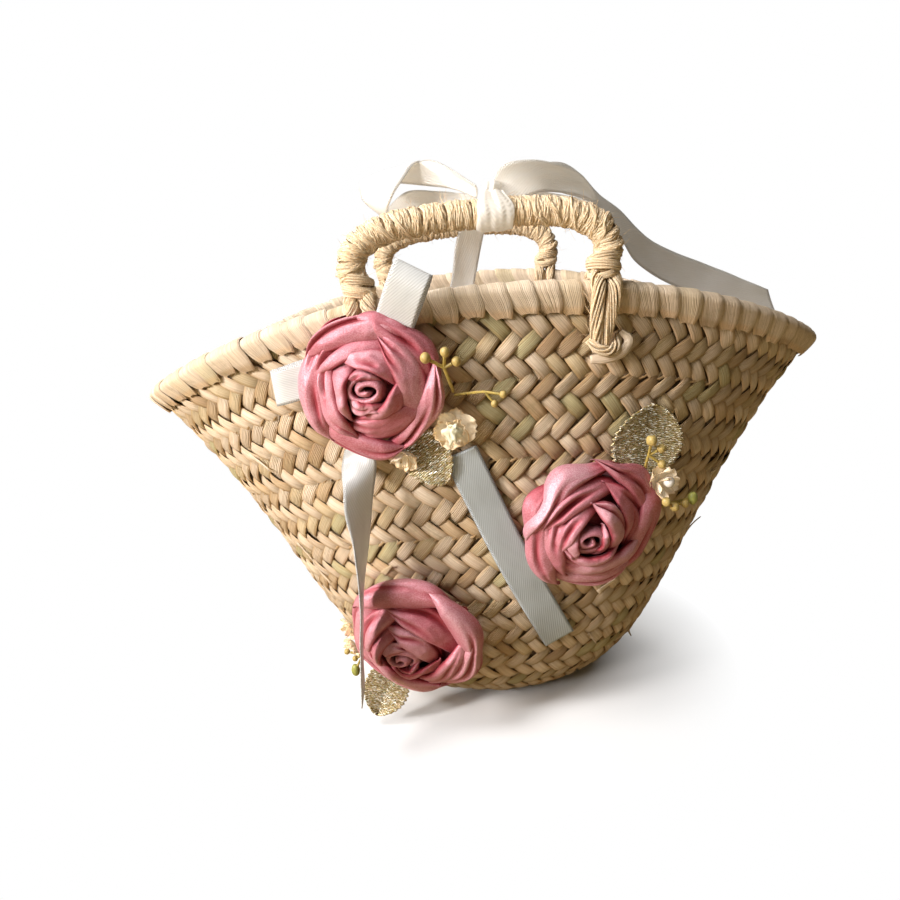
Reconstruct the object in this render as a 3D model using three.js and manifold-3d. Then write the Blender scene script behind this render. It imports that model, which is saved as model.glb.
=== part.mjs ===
// A small palm-leaf basket for a flower girl: a flared woven body with a folded rim, two rope handles
// wrapped in sisal, a satin bow on the front handle, and three rolled satin roses on the front wall, each
// with a leaf, paper blossoms and berry picks. Millimetres, +Z up, origin at the centre of the flat base.
// The decorated front faces -Y and the long way of the mouth runs along X.
import * as THREE from "three";
import { mergeVertices } from "three/addons/utils/BufferGeometryUtils.js";
import Module from "manifold-3d";

const wasm = await Module();
wasm.setup();

// ---- Driving dimensions -------------------------------------------------------------------------
const MOUTH = { x: 109, y: 56 }; // half axes of the wall's top edge
const SHOULDER = { x: 63, y: 53 }; // Bezier control ellipse below the flare
const BELLY = { x: 59, y: 50 }; // Bezier control ellipse at floor level
const FLOOR = { x: 26, y: 21 }; // half axes of the flat base
const WALL_TOP_MIDDLE = 136.5; // height of the wall's top edge at the middle of each long side
const WALL_TOP_TIP = 109; // and at the two pinched tips
const RIM_DROOP_POWER = 2.2; // how sharply the edge falls towards the tips
const SHOULDER_HEIGHT = 0.51; // height of the shoulder control, as a share of the wall's height
const WALL = 2.2; // thickness of the woven wall
const GAP = 0.3; // clearance left between neighbouring pieces
const RIM = { leg: 1.3, depth: 6, crown: 2 }; // folded palm edging: thickness, overlap and height above the wall

const HANDLE_ANGLE = 16.6; // degrees from the middle of a long side to each handle foot
const ROPE_CORE_R = 2.1;
const ROPE_R = 3.6; // outside of the sisal wrapping
const FOOT_R = 3.6; // rounded knot at each end of the rope
const ARCH_HEIGHT = 15.2; // middle of the rope above its feet
const BOW_X = 4.5; // the bow is tied a little to the right of the middle
const RIBBON = { width: 10, thick: 0.4 };

const ROSE_R = [19, 20, 20.5]; // upper left, right, lower left
const ROSE_HEIGHT = 11;
const FELT_R = 15.5;

// Where each rose sits on the wall: degrees around from +X, and share of the way from base to rim.
const SPOTS = [
  { around: -107.8, up: 0.907 },
  { around: -70.8, up: 0.672 },
  { around: -115.2, up: 0.466 },
];

// ---- Materials ----------------------------------------------------------------------------------
const material = (color, roughness, metalness = 0) =>
  new THREE.MeshStandardMaterial({ color, roughness, metalness });
const PALM = material(0xc9b184, 0.75);
const RIM_PALM = material(0xd6c195, 0.7);
const ROPE = material(0xb79a63, 0.9);
const SISAL = material(0xd2b47c, 0.8);
const CREAM_SATIN = material(0xe6dfd1, 0.35);
const SILVER_SATIN = material(0xdcdcd8, 0.35);
const ROSE_SATIN = material(0xd17c8c, 0.5);
const FELT = material(0xd9a0a8, 0.95);
const GLUE = material(0xe9e4da, 0.3);
const GOLD_LEAF = material(0xb9ac7d, 0.4, 0.6);
const PAPER = material(0xe3c290, 0.85);
const PAPER_CENTRE = material(0xd9d3ae, 0.8);
const PEARL = material(0xf2ede2, 0.25);
const STEM = material(0xb59a3e, 0.6);
const BERRY = material(0xc9ab55, 0.55);
const GREEN_BERRY = material(0x8d8a45, 0.55);

// ---- Small geometry helpers ---------------------------------------------------------------------
const V = (x, y, z) => new THREE.Vector3(x, y, z);
const radians = THREE.MathUtils.degToRad;
const basket = new THREE.Group();

function addMesh(name, geometry, surface, parent = basket) {
  const mesh = new THREE.Mesh(geometry, surface);
  mesh.name = name;
  parent.add(mesh);
  return mesh;
}

// A closed solid through a list of rings that hold equally many points. The rings run anticlockwise when
// seen from the last ring. With loop, the last ring joins the first; otherwise both ends get a fan. In a
// thin sheet, the second half of each ring is cut along the same diagonals as the face opposite, so that
// the two faces of a twisted sheet stay apart.
function loft(rings, { loop = false, sheet = false } = {}) {
  const count = rings[0].length;
  const points = rings.flat();
  const index = [];
  const at = (ring, i) => (ring % rings.length) * count + (i % count);
  const steps = loop ? rings.length : rings.length - 1;
  for (let r = 0; r < steps; r++)
    for (let i = 0; i < count; i++) {
      const other = sheet && i >= count / 2;
      index.push(at(r, i), at(r, i + 1), at(r + 1, other ? i : i + 1));
      index.push(at(r, other ? i + 1 : i), at(r + 1, i + 1), at(r + 1, i));
    }
  if (!loop)
    for (const [ring, flip] of [[0, true], [rings.length - 1, false]]) {
      const centre = points.length;
      const middle = rings[ring].reduce((sum, p) => sum.add(p), V(0, 0, 0));
      points.push(middle.divideScalar(count));
      for (let i = 0; i < count; i++) {
        const edge = [at(ring, i), at(ring, i + 1)];
        index.push(centre, ...(flip ? edge.reverse() : edge));
      }
    }
  return new THREE.BufferGeometry().setFromPoints(points).setIndex(index);
}

// A flat strip swept through stations of {at, across}: a centre and the direction of the strip's width.
function strip(stations, width, thick) {
  const rings = stations.map(({ at, across, wide = 1 }, i) => {
    const before = stations[Math.max(i - 1, 0)].at;
    const after = stations[Math.min(i + 1, stations.length - 1)].at;
    const along = after.clone().sub(before).normalize();
    const side = across.clone().addScaledVector(along, -across.dot(along)).normalize();
    const face = along.clone().cross(side);
    const corner = (a, b) =>
      at.clone().addScaledVector(side, (a * width * wide) / 2).addScaledVector(face, (b * thick) / 2);
    return [corner(-1, -1), corner(1, -1), corner(1, 1), corner(-1, 1)];
  });
  return loft(rings, { sheet: true });
}

// Smooths a few key stations into many: centres follow a Catmull-Rom curve, widths turn evenly.
function smoothStations(keys, count) {
  const curve = new THREE.CatmullRomCurve3(keys.map((k) => k.at), false, "centripetal");
  return Array.from({ length: count + 1 }, (_, i) => {
    const t = (i / count) * (keys.length - 1);
    const k = Math.min(Math.floor(t), keys.length - 2);
    const across = keys[k].across.clone().lerp(keys[k + 1].across, t - k);
    return { at: curve.getPoint(i / count), across };
  });
}

const ribbon = (keys, count = 20) =>
  strip(smoothStations(keys, count), RIBBON.width, RIBBON.thick);

// A round cord along a curve, closed at both ends, or a hollow sleeve when an inner radius is given.
function cord(curve, radius, { inner = 0, steps = 24, sides = 10 } = {}) {
  const shape = new THREE.Shape().absarc(0, 0, radius, 0, Math.PI * 2);
  if (inner) shape.holes.push(new THREE.Path().absarc(0, 0, inner, 0, Math.PI * 2, true));
  return new THREE.ExtrudeGeometry(shape, { steps, curveSegments: sides / 2, extrudePath: curve });
}

const curveThrough = (points) => new THREE.CatmullRomCurve3(points, false, "centripetal");

function toSolid(geometry) {
  const bare = geometry.clone();
  bare.deleteAttribute("normal");
  bare.deleteAttribute("uv");
  const merged = mergeVertices(bare, 1e-4);
  return new wasm.Manifold(
    new wasm.Mesh({
      numProp: 3,
      vertProperties: new Float32Array(merged.attributes.position.array),
      triVerts: new Uint32Array(merged.index.array),
    }),
  );
}

function fromSolid(solid) {
  const mesh = solid.getMesh();
  return new THREE.BufferGeometry()
    .setAttribute("position", new THREE.BufferAttribute(new Float32Array(mesh.vertProperties), 3))
    .setIndex(new THREE.BufferAttribute(new Uint32Array(mesh.triVerts), 1));
}

const ball = (radius, centre = V(0, 0, 0), detail = 8) =>
  new THREE.SphereGeometry(radius, detail, Math.round(detail * 0.7)).translate(centre.x, centre.y, centre.z);

// ---- The wall as a surface ----------------------------------------------------------------------
// A point on the wall's outside: u is the angle around in radians, s runs from the base (0) to the top (1).
function wallPoint(u, s) {
  const c = Math.cos(u);
  const d = Math.sin(u);
  const top = WALL_TOP_MIDDLE - (WALL_TOP_MIDDLE - WALL_TOP_TIP) * Math.abs(c) ** RIM_DROOP_POWER;
  const bezier = (p0, p1, p2, p3) =>
    (1 - s) ** 3 * p0 + 3 * (1 - s) ** 2 * s * p1 + 3 * (1 - s) * s ** 2 * p2 + s ** 3 * p3;
  return V(
    c * bezier(FLOOR.x, BELLY.x, SHOULDER.x, MOUTH.x),
    d * bezier(FLOOR.y, BELLY.y, SHOULDER.y, MOUTH.y),
    bezier(0, 0, SHOULDER_HEIGHT * top, top),
  );
}

// Axes at a point of the wall: side runs around it, rise climbs it and out leaves it.
function wallAxes(u, s) {
  const step = 1e-4;
  const side = wallPoint(u + step, s).sub(wallPoint(u - step, s)).normalize();
  const climb = wallPoint(u, Math.min(s + step, 1)).sub(wallPoint(u, Math.max(s - step, 0)));
  const out = side.clone().cross(climb).normalize();
  return { at: wallPoint(u, s), side, rise: out.clone().cross(side), out };
}

// A group whose own X, Y and Z are the wall's side, rise and out directions at that spot.
function groupOnWall({ around, up }) {
  const { at, side, rise, out } = wallAxes(radians(around), up);
  const group = new THREE.Group();
  group.matrixAutoUpdate = false;
  group.matrix.makeBasis(side, rise, out).setPosition(at);
  basket.add(group);
  return group;
}

// ---- Woven body and folded rim ------------------------------------------------------------------
function makeBody() {
  const around = 52;
  const rows = 10;
  const ring = (s, inset) =>
    Array.from({ length: around }, (_, i) => {
      const { at, out } = wallAxes((i / around) * Math.PI * 2, s);
      return at.addScaledVector(out, -inset);
    });
  const outside = Array.from({ length: rows + 1 }, (_, i) => ring(i / rows, 0));
  const inside = Array.from({ length: rows + 1 }, (_, i) => ring(1 - i / rows, WALL));
  addMesh("basket_body", loft([...outside, ...inside]), PALM);
}

function makeRim() {
  const around = 52;
  const arcPoints = 5;
  const outer = GAP + RIM.leg;
  const inner = -(WALL + GAP + RIM.leg);
  const middle = (outer + inner) / 2;
  const radius = (outer - inner) / 2;
  const section = [[outer - RIM.leg, -RIM.depth], [outer, -RIM.depth]];
  for (let i = 0; i < arcPoints; i++) {
    const a = (Math.PI * i) / (arcPoints - 1);
    section.push([middle + radius * Math.cos(a), RIM.crown - radius * (1 - Math.sin(a))]);
  }
  section.push([inner, -RIM.depth], [inner + RIM.leg, -RIM.depth]);
  section.push([inner + RIM.leg, GAP], [outer - RIM.leg, GAP]);
  section.reverse();
  const rings = Array.from({ length: around }, (_, i) => {
    const { at, rise, out } = wallAxes((i / around) * Math.PI * 2, 1);
    return section.map(([n, t]) => at.clone().addScaledVector(out, n).addScaledVector(rise, t));
  });
  addMesh("rim_braid", loft(rings, { loop: true }), RIM_PALM);
}

// ---- Rope handles and their lashings ------------------------------------------------------------
// A handle foot rests this far above the wall's top edge, centred over the wall's thickness.
const FOOT_RISE = RIM.crown + 0.4 + FOOT_R;

function footAt(around) {
  const { at, rise, out } = wallAxes(radians(around), 1);
  return at.addScaledVector(out, -WALL / 2).addScaledVector(rise, FOOT_RISE);
}

function handleCurve(side) {
  const foot = footAt(side * 90 + HANDLE_ANGLE);
  const x = Math.abs(foot.x);
  const half = [[x, 0], [x + 1.4, 4], [x - 0.6, 9.4], [x - 8, 13.4], [x - 19, ARCH_HEIGHT - 0.3]];
  const left = half.map(([px, h]) => V(-px, foot.y, foot.z + h));
  const right = half.map(([px, h]) => V(px, foot.y, foot.z + h)).reverse();
  return curveThrough([...left, V(0, foot.y, foot.z + ARCH_HEIGHT), ...right]);
}

function partOfCurve(curve, from, to, count) {
  return curveThrough(
    Array.from({ length: count + 1 }, (_, i) => curve.getPointAt(from + ((to - from) * i) / count)),
  );
}

function makeHandle(name, side) {
  const curve = handleCurve(side);
  const footShare = (FOOT_R + GAP) / curve.getLength();
  let core = toSolid(cord(curve, ROPE_CORE_R, { steps: 24, sides: 8 }));
  for (const end of [0, 1]) core = core.add(toSolid(ball(FOOT_R, curve.getPointAt(end), 10)));
  addMesh(`${name}_core`, fromSolid(core), ROPE);
  const covered = partOfCurve(curve, footShare, 1 - footShare, 30);
  const sleeve = { inner: ROPE_CORE_R + 2 * GAP, steps: 24, sides: 10 };
  addMesh(`${name}_wrap`, cord(covered, ROPE_R, sleeve), SISAL);
}

// Sisal strands that straddle the rim on both sides of a foot and end in the wall, as one saddle. The outer
// ends reach down by the given length.
function makeLashing(name, around, reach) {
  const { at, side, rise, out } = wallAxes(radians(around), 1);
  const thick = 1.2;
  const outerFace = RIM.leg + 2 * GAP + 0.2 + thick / 2;
  const innerFace = -(WALL + RIM.leg + 2 * GAP + 0.2 + thick / 2);
  const over = RIM.crown + GAP + thick / 2;
  const path = [
    [outerFace + 0.4, -reach, 0.5],
    [outerFace + 0.3, -0.6 * reach, 0.8],
    [outerFace + 0.2, -0.2 * reach, 1],
    [outerFace - 0.3, 1.2, 1],
    [0.6, over + 0.5, 1],
    [-WALL - 0.6, over + 0.5, 1],
    [innerFace + 0.3, 1.2, 1],
    [innerFace - 0.2, -4, 0.9],
    [innerFace - 0.4, -9, 0.6],
  ];
  const stations = path.map(([n, t, wide]) => ({
    at: at.clone().addScaledVector(out, n).addScaledVector(rise, t),
    across: side,
    wide,
  }));
  const foot = footAt(around);
  const hole = new THREE.CylinderGeometry(FOOT_R + 0.5, FOOT_R + 0.5, 12, 20)
    .rotateX(Math.PI / 2)
    .translate(foot.x, foot.y, foot.z + 1.5);
  const saddle = toSolid(strip(stations, 12.4, thick)).subtract(toSolid(hole));
  addMesh(name, fromSolid(saddle), SISAL);
}

// ---- The cream bow on the front handle ----------------------------------------------------------
function makeBow() {
  const foot = footAt(-90 + HANDLE_ANGLE);
  const top = V(BOW_X, foot.y, foot.z + ARCH_HEIGHT);
  // Places in the bow are given from the middle of the rope under the knot.
  const from = (x, y, z) => V(x, y, z).add(top);
  const turn = curveThrough([from(-4.3, 0, -0.1), from(0, 0, -0.1), from(4.3, 0, -0.3)]);
  addMesh("bow_wrap", cord(turn, ROPE_R + 0.9, { inner: ROPE_R + 0.4, steps: 4, sides: 14 }), CREAM_SATIN);
  const knot = ball(1, V(0, 0, 0), 14).scale(3.2, 2.6, 1.9);
  addMesh("bow_knot", knot, CREAM_SATIN).position.copy(from(0, 1.6, ROPE_R + 3.1));

  const up = V(0, 0.2, 1);
  const back = V(-0.1, 1, 0.25);
  addMesh("bow_loop_left", ribbon([
    { at: from(-4.2, 3.4, 6.1), across: back },
    { at: from(-12, 8.6, 5.6), across: V(-0.1, 0.8, 0.5) },
    { at: from(-22, 13, 3.6), across: V(-0.6, 0.6, -0.5) },
    { at: from(-30, 15, 5.6), across: V(-1, 0.1, -0.2) },
    { at: from(-30.5, 14, 10.5), across: V(-1, 0.1, 0.1) },
    { at: from(-25, 11, 14), across: V(-0.8, 0.5, 0.3) },
    { at: from(-15, 7.5, 13.6), across: V(-0.3, 0.9, 0.2) },
    { at: from(-4.2, 2.6, 7.6), across: back },
  ], 26), CREAM_SATIN);
  addMesh("bow_loop_right", ribbon([
    { at: from(4.2, 1.4, 7.2), across: V(0, 0.8, 0.6) },
    { at: from(10, 3, 10.2), across: up },
    { at: from(18, 6, 9), across: up },
    { at: from(26.5, 13, 4.2), across: V(0.2, 0.2, 1) },
    { at: from(29.5, 19, 2.4), across: V(0.2, 0.1, 1) },
    { at: from(25, 20, 1.4), across: V(0.1, 0.3, 1) },
    { at: from(15, 13.4, 1.6), across: V(0, 0.8, 0.5) },
    { at: from(9, 9.6, 1.4), across: V(0, 1, 0.1) },
  ], 26), CREAM_SATIN);
  addMesh("bow_tail_right", ribbon([
    { at: from(4, 6.4, 6.3), across: V(-0.1, 0.7, 0.7) },
    { at: from(12, 20, 10), across: up },
    { at: from(23, 28, 8), across: V(0.3, 0.1, 1) },
    { at: from(33, 34, -3.5), across: V(0.6, 0.1, 0.8) },
    { at: from(48, 41, -16), across: V(0.5, 0, 0.85) },
    { at: from(68, 46, -23), across: V(0.25, 0, 1) },
    { at: from(93, 49, -32), across: V(0.3, 0, 1) },
  ], 24), CREAM_SATIN);
  addMesh("bow_tail_back", ribbon([
    { at: from(-1.6, 9, 2.9), across: V(1, 0, 0) },
    { at: from(-3.6, 13, -1), across: V(1, 0.1, 0.05) },
    { at: from(-5.6, 17, -7), across: V(1, 0.1, 0.1) },
    { at: from(-8.2, 22, -18), across: V(1, 0.15, 0.15) },
    { at: from(-11, 24, -30), across: V(1, 0.3, 0.15) },
    { at: from(-12, 24.5, -42), across: V(1, 0.3, 0.1) },
  ]), CREAM_SATIN);
}

// ---- Rolled satin roses -------------------------------------------------------------------------
// Heights out from the wall inside a cluster: glue, then felt, then the rolled satin.
const FELT_Z = 2.5;
const FELT_THICK = 1.2;
const ROSE_Z = FELT_Z + FELT_THICK + GAP;

const lathe = (profile, sides) =>
  new THREE.LatheGeometry(profile.map(([r, h]) => new THREE.Vector2(r, h)), sides).rotateX(Math.PI / 2);

function makeRose(number, group) {
  const R = ROSE_R[number - 1];
  const H = ROSE_HEIGHT;
  // Each dip between two crests is the gap between one turn of the rolled strip and the next.
  const profile = [
    [0, 0], [0.86 * R, 0], [0.97 * R, 0.2 * H], [R, 0.4 * H], [0.93 * R, 0.58 * H],
    [0.8 * R, 0.64 * H], [0.73 * R, 0.5 * H], [0.67 * R, 0.74 * H], [0.56 * R, 0.86 * H],
    [0.45 * R, 0.8 * H], [0.4 * R, 0.62 * H], [0.35 * R, 0.9 * H], [0.25 * R, H],
    [0.13 * R, 0.92 * H], [0.08 * R, 0.7 * H], [0, 0.68 * H],
  ];
  addMesh(`rose_${number}_satin`, lathe(profile, 18), ROSE_SATIN, group).position.z = ROSE_Z;
  const felt = [[0, 0], [FELT_R, 0], [FELT_R, FELT_THICK], [0, FELT_THICK]];
  addMesh(`rose_${number}_felt`, lathe(felt, 18), FELT, group).position.z = FELT_Z;
  const glue = [[0, 0.35], [5, 0.35], [6, 1.2], [5, FELT_Z - GAP], [0, FELT_Z - GAP]];
  addMesh(`rose_${number}_glue`, lathe(glue, 12), GLUE, group);
}

// ---- Leaves, blossoms and berry picks -----------------------------------------------------------
// A serrated leaf with its base at the given place, its tip turned by an angle from +X and lifted off the wall.
function makeLeaf(name, group, { length, width, at, turn, lift = 0 }) {
  const teeth = 11;
  const outline = [];
  for (let i = 0; i <= teeth * 2; i++) {
    const t = i / (teeth * 2);
    const notch = i % 2 ? 0.93 : 1;
    outline.push([t * length, (width / 2) * Math.sin(Math.PI * t ** 0.85) ** 0.8 * notch]);
  }
  const upper = outline.map(([x, y]) => new THREE.Vector2(x, y));
  const lower = outline.slice(1, -1).map(([x, y]) => new THREE.Vector2(x, -y)).reverse();
  const shape = new THREE.Shape([...upper, ...lower]);
  const geometry = new THREE.ExtrudeGeometry(shape, { depth: 0.6, bevelEnabled: false });
  const leaf = addMesh(name, geometry, GOLD_LEAF, group);
  leaf.position.copy(at);
  leaf.rotation.set(0, radians(-lift), radians(turn), "ZYX");
}

// A shallow cup with scalloped petals, opening along its own +Z.
function makeBlossom(name, group, { radius, at, tilt = [0, 0], petals = 5 }) {
  const around = 20;
  const ring = (share, height) =>
    Array.from({ length: around }, (_, i) => {
      const a = (i / around) * Math.PI * 2;
      const scallop = 1 - 0.16 * share * (0.5 - 0.5 * Math.cos(petals * a));
      return V(radius * share * scallop * Math.cos(a), radius * share * scallop * Math.sin(a), height);
    });
  const H = radius * 0.7;
  const cup = loft([
    ring(0.3, 0), ring(0.75, H * 0.4), ring(1, H), ring(0.9, H * 1.08), ring(0.6, H * 0.66), ring(0.2, H * 0.4),
  ]);
  const mesh = addMesh(name, cup, PAPER, group);
  mesh.position.copy(at);
  mesh.rotation.set(radians(tilt[0]), radians(tilt[1]), 0);
  return mesh;
}

function makeBerry(name, group, at, radius, surface = BERRY) {
  addMesh(name, ball(radius), surface, group).position.copy(at);
}

// A wire stem with short branches, joined into one piece.
function makeStem(name, group, radius, runs) {
  const solids = runs.map((points) =>
    toSolid(cord(curveThrough(points), radius, { steps: 2 * points.length - 3, sides: 6 })));
  const joined = solids.reduce((sum, piece) => sum.add(piece));
  addMesh(name, fromSolid(joined), STEM, group);
}

// Stops a branch just short of the berry it carries.
const shortOf = (from, berry, radius) =>
  berry.clone().add(from.clone().sub(berry).setLength(radius + 0.12));

function makePick(name, group, { stem, fork, berries, wire = 0.45 }) {
  const branches = berries.map(({ at, radius }) => [fork, shortOf(fork, at, radius)]);
  makeStem(`${name}_stem`, group, wire, [[...stem, fork], ...branches]);
  berries.forEach(({ at, radius, surface }, i) =>
    makeBerry(`${name}_berry_${i + 1}`, group, at, radius, surface));
}

// ---- The three clusters -------------------------------------------------------------------------
function makeUpperLeftCluster() {
  const group = groupOnWall(SPOTS[0]);
  makeRose(1, group);
  makeLeaf("leaf_1", group, { length: 23, width: 13.6, at: V(2.9, -10.6, 1.25), turn: -69 });
  makeBlossom("blossom_1a_petals", group, { radius: 4.4, at: V(18.4, -16, 3.6), tilt: [-10, 12] });
  makeBerry("blossom_1a_centre", group, V(18.7, -15.8, 7.9), 2.3, PAPER_CENTRE);
  makeBlossom("blossom_1b_petals", group, { radius: 3.9, at: V(5.6, -22.9, 2.6), tilt: [24, 0] });
  makePick("pick_1", group, {
    stem: [V(20.6, -5.6, 4.6), V(21.2, -2, 9)],
    fork: V(21.3, 2.6, 12.2),
    berries: [
      { at: V(17.8, 6.3, 14.4), radius: 1.3 },
      { at: V(22.6, 6.6, 13.4), radius: 1.15 },
      { at: V(24.6, 3.6, 12.4), radius: 1.15 },
    ],
  });
  makePick("twig_1", group, {
    stem: [V(20.4, -7, 3.2), V(25, -6.9, 4.4)],
    fork: V(28.8, -7, 5.4),
    berries: [
      { at: V(33.4, -8.4, 6), radius: 0.9 },
      { at: V(30.6, -10.6, 5.4), radius: 0.9 },
    ],
    wire: 0.35,
  });
  // The silver ribbon behind the rose: two short loops and two streamers.
  addMesh("rose_loop_left", ribbon([
    { at: V(-9, 4.6, 0.8), across: V(0.15, 1, 0) },
    { at: V(-18, 4.6, 0.2), across: V(0.15, 1, 0) },
    { at: V(-26, 3.6, 0.2), across: V(0.12, 1, 0) },
    { at: V(-27.8, 3.4, 1.4), across: V(0.12, 1, 0) },
    { at: V(-26, 3.6, 2.6), across: V(0.12, 1, 0) },
    { at: V(-20.5, 4.4, 2.9), across: V(0.15, 1, 0) },
  ]), SILVER_SATIN, group);
  addMesh("rose_loop_top", ribbon([
    { at: V(12.2, 17.8, 4.3), across: V(0.83, -0.55, 0) },
    { at: V(14, 20.4, 4.6), across: V(0.8, -0.6, 0) },
    { at: V(17.2, 25, 5.4), across: V(0.79, -0.61, 0) },
    { at: V(18.4, 26.7, 7), across: V(0.79, -0.61, 0) },
    { at: V(17.2, 25, 8.6), across: V(0.79, -0.61, 0) },
    { at: V(14.4, 21, 8), across: V(0.8, -0.6, 0) },
    { at: V(12.4, 18.2, 6.6), across: V(0.83, -0.55, 0) },
  ]), SILVER_SATIN, group);
  addMesh("streamer_left", ribbon([
    { at: V(-10.8, -19.4, 3.2), across: V(1, 0.3, 0) },
    { at: V(-9.8, -21.6, 5.2), across: V(1, 0, -0.3) },
    { at: V(-10.2, -25, 7.4), across: V(0.3, 0, -1) },
    { at: V(-11.6, -31, 9), across: V(-1, 0, -0.3) },
    { at: V(-13.2, -41, 10), across: V(-1, 0, 0.2) },
    { at: V(-16.4, -55, 12.4), across: V(-0.5, 0, 1) },
    { at: V(-20.4, -72, 14.6), across: V(-0.12, 0, 1) },
    { at: V(-24.6, -90, 15.6), across: V(-0.1, 0, 1) },
  ], 28), SILVER_SATIN, group);
}

// The flat streamer lies down the wall from below the first rose and lifts a little at its end.
function makeStreamerRight() {
  const start = { around: -96.2, up: 0.79 };
  const end = { around: -73.4, up: 0.412 };
  const sway = 2; // degrees the middle hangs left of the straight line
  const count = 24;
  const points = Array.from({ length: count + 1 }, (_, i) => {
    const t = i / count;
    const around = start.around + (end.around - start.around) * t - sway * Math.sin(Math.PI * t);
    const { at, out } = wallAxes(radians(around), start.up + (end.up - start.up) * t);
    return { at: at.addScaledVector(out, 0.6 + 1.2 * t), out };
  });
  const stations = points.map(({ at, out }, i) => {
    const along = points[Math.min(i + 1, count)].at.clone().sub(points[Math.max(i - 1, 0)].at);
    return { at, across: out.clone().cross(along) };
  });
  addMesh("streamer_right", strip(stations, RIBBON.width, RIBBON.thick), SILVER_SATIN);
}

function makeRightCluster() {
  const group = groupOnWall(SPOTS[1]);
  makeRose(2, group);
  makeLeaf("leaf_2", group, { length: 26.5, width: 22, at: V(15.6, 7, 1.3), turn: 88 });
  makeBlossom("blossom_2_petals", group, { radius: 4.4, at: V(21, 12, 3.4), tilt: [-4, 14] });
  makeBerry("blossom_2_pearl", group, V(21.4, 12.5, 7.5), 1.6, PEARL);
  makePick("pick_2", group, {
    stem: [V(15.8, 12.9, 3), V(14.4, 17, 5.6)],
    fork: V(13.6, 21, 7.6),
    berries: [
      { at: V(12.6, 26, 9.6), radius: 1.4 },
      { at: V(16.2, 23.4, 9.2), radius: 1.15 },
      { at: V(17.4, 18.6, 8.8), radius: 1.2 },
    ],
  });
  makePick("spray_2", group, {
    stem: [V(20.8, 0.6, 3.8), V(21.6, 3, 4.6)],
    fork: V(23.4, 4.6, 5.4),
    berries: [
      { at: V(20.2, 7.4, 9.8), radius: 1.25 },
      { at: V(23.2, 5.6, 9.6), radius: 1.25 },
      { at: V(27.8, 5.4, 7.6), radius: 1.1 },
      { at: V(30.8, 6.4, 6.4), radius: 1.35, surface: GREEN_BERRY },
    ],
  });
}

function makeLowerLeftCluster() {
  const group = groupOnWall(SPOTS[2]);
  makeRose(3, group);
  makeLeaf("leaf_3", group, { length: 23.5, width: 15.5, at: V(-10.5, -11.2, 0.9), turn: -119, lift: 25 });
  makeBlossom("blossom_3a_petals", group, { radius: 3.6, at: V(-24.4, -0.4, 1.2), tilt: [0, -30] });
  makeBlossom("blossom_3b_petals", group, { radius: 3.6, at: V(-25.6, -8.2, 1.4), tilt: [10, -34] });
  makePick("pick_3", group, {
    stem: [V(-19.4, -12.2, 0.4), V(-23, -14, -0.4)],
    fork: V(-26.4, -15.2, -0.9),
    berries: [
      { at: V(-31.4, -13.4, -0.4), radius: 1 },
      { at: V(-29.2, -16.2, -0.2), radius: 1 },
      { at: V(-30.2, -20.8, 0.6), radius: 1.5, surface: GREEN_BERRY },
    ],
  });
}

makeBody();
makeRim();
makeHandle("front_handle", -1);
makeHandle("back_handle", 1);
makeLashing("front_left_lashing", -90 - HANDLE_ANGLE, 2.4);
makeLashing("front_right_lashing", -90 + HANDLE_ANGLE, 17);
makeLashing("back_left_lashing", 90 + HANDLE_ANGLE, 14);
makeLashing("back_right_lashing", 90 - HANDLE_ANGLE, 14);
makeBow();
makeUpperLeftCluster();
makeStreamerRight();
makeRightCluster();
makeLowerLeftCluster();

export default basket;
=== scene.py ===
"""The looks of the flower girl basket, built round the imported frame.

Lengths are millimetres until a mesh is made. The wall is one curved surface, given by an angle round the
mouth and a share of the way up, and the woven leaf, the rim, the roses and the ribbons are laid on it.
"""

import math

import bpy
import numpy as np
from mathutils import Matrix, Vector


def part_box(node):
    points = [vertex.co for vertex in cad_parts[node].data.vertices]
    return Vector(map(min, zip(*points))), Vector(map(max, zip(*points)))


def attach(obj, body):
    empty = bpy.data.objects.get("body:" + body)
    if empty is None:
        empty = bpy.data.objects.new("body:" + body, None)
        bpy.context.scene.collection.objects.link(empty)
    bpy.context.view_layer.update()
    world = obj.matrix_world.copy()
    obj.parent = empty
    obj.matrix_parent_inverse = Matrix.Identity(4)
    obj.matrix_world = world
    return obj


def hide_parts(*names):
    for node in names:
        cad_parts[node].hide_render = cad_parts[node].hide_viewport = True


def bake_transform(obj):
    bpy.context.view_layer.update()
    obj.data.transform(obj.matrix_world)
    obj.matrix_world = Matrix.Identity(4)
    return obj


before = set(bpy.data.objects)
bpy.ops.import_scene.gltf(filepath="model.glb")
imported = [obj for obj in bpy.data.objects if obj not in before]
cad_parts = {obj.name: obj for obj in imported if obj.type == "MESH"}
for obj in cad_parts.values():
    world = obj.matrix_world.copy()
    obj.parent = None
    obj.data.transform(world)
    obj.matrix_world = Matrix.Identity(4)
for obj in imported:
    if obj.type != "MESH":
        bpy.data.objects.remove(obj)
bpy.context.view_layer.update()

MM = 0.001
UP = np.array([0.0, 0.0, 1.0])


def node_box(node):
    """Lowest and highest corner of a CAD node, in millimetres."""
    low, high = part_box(node)
    return np.array(low) / MM, np.array(high) / MM


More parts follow.
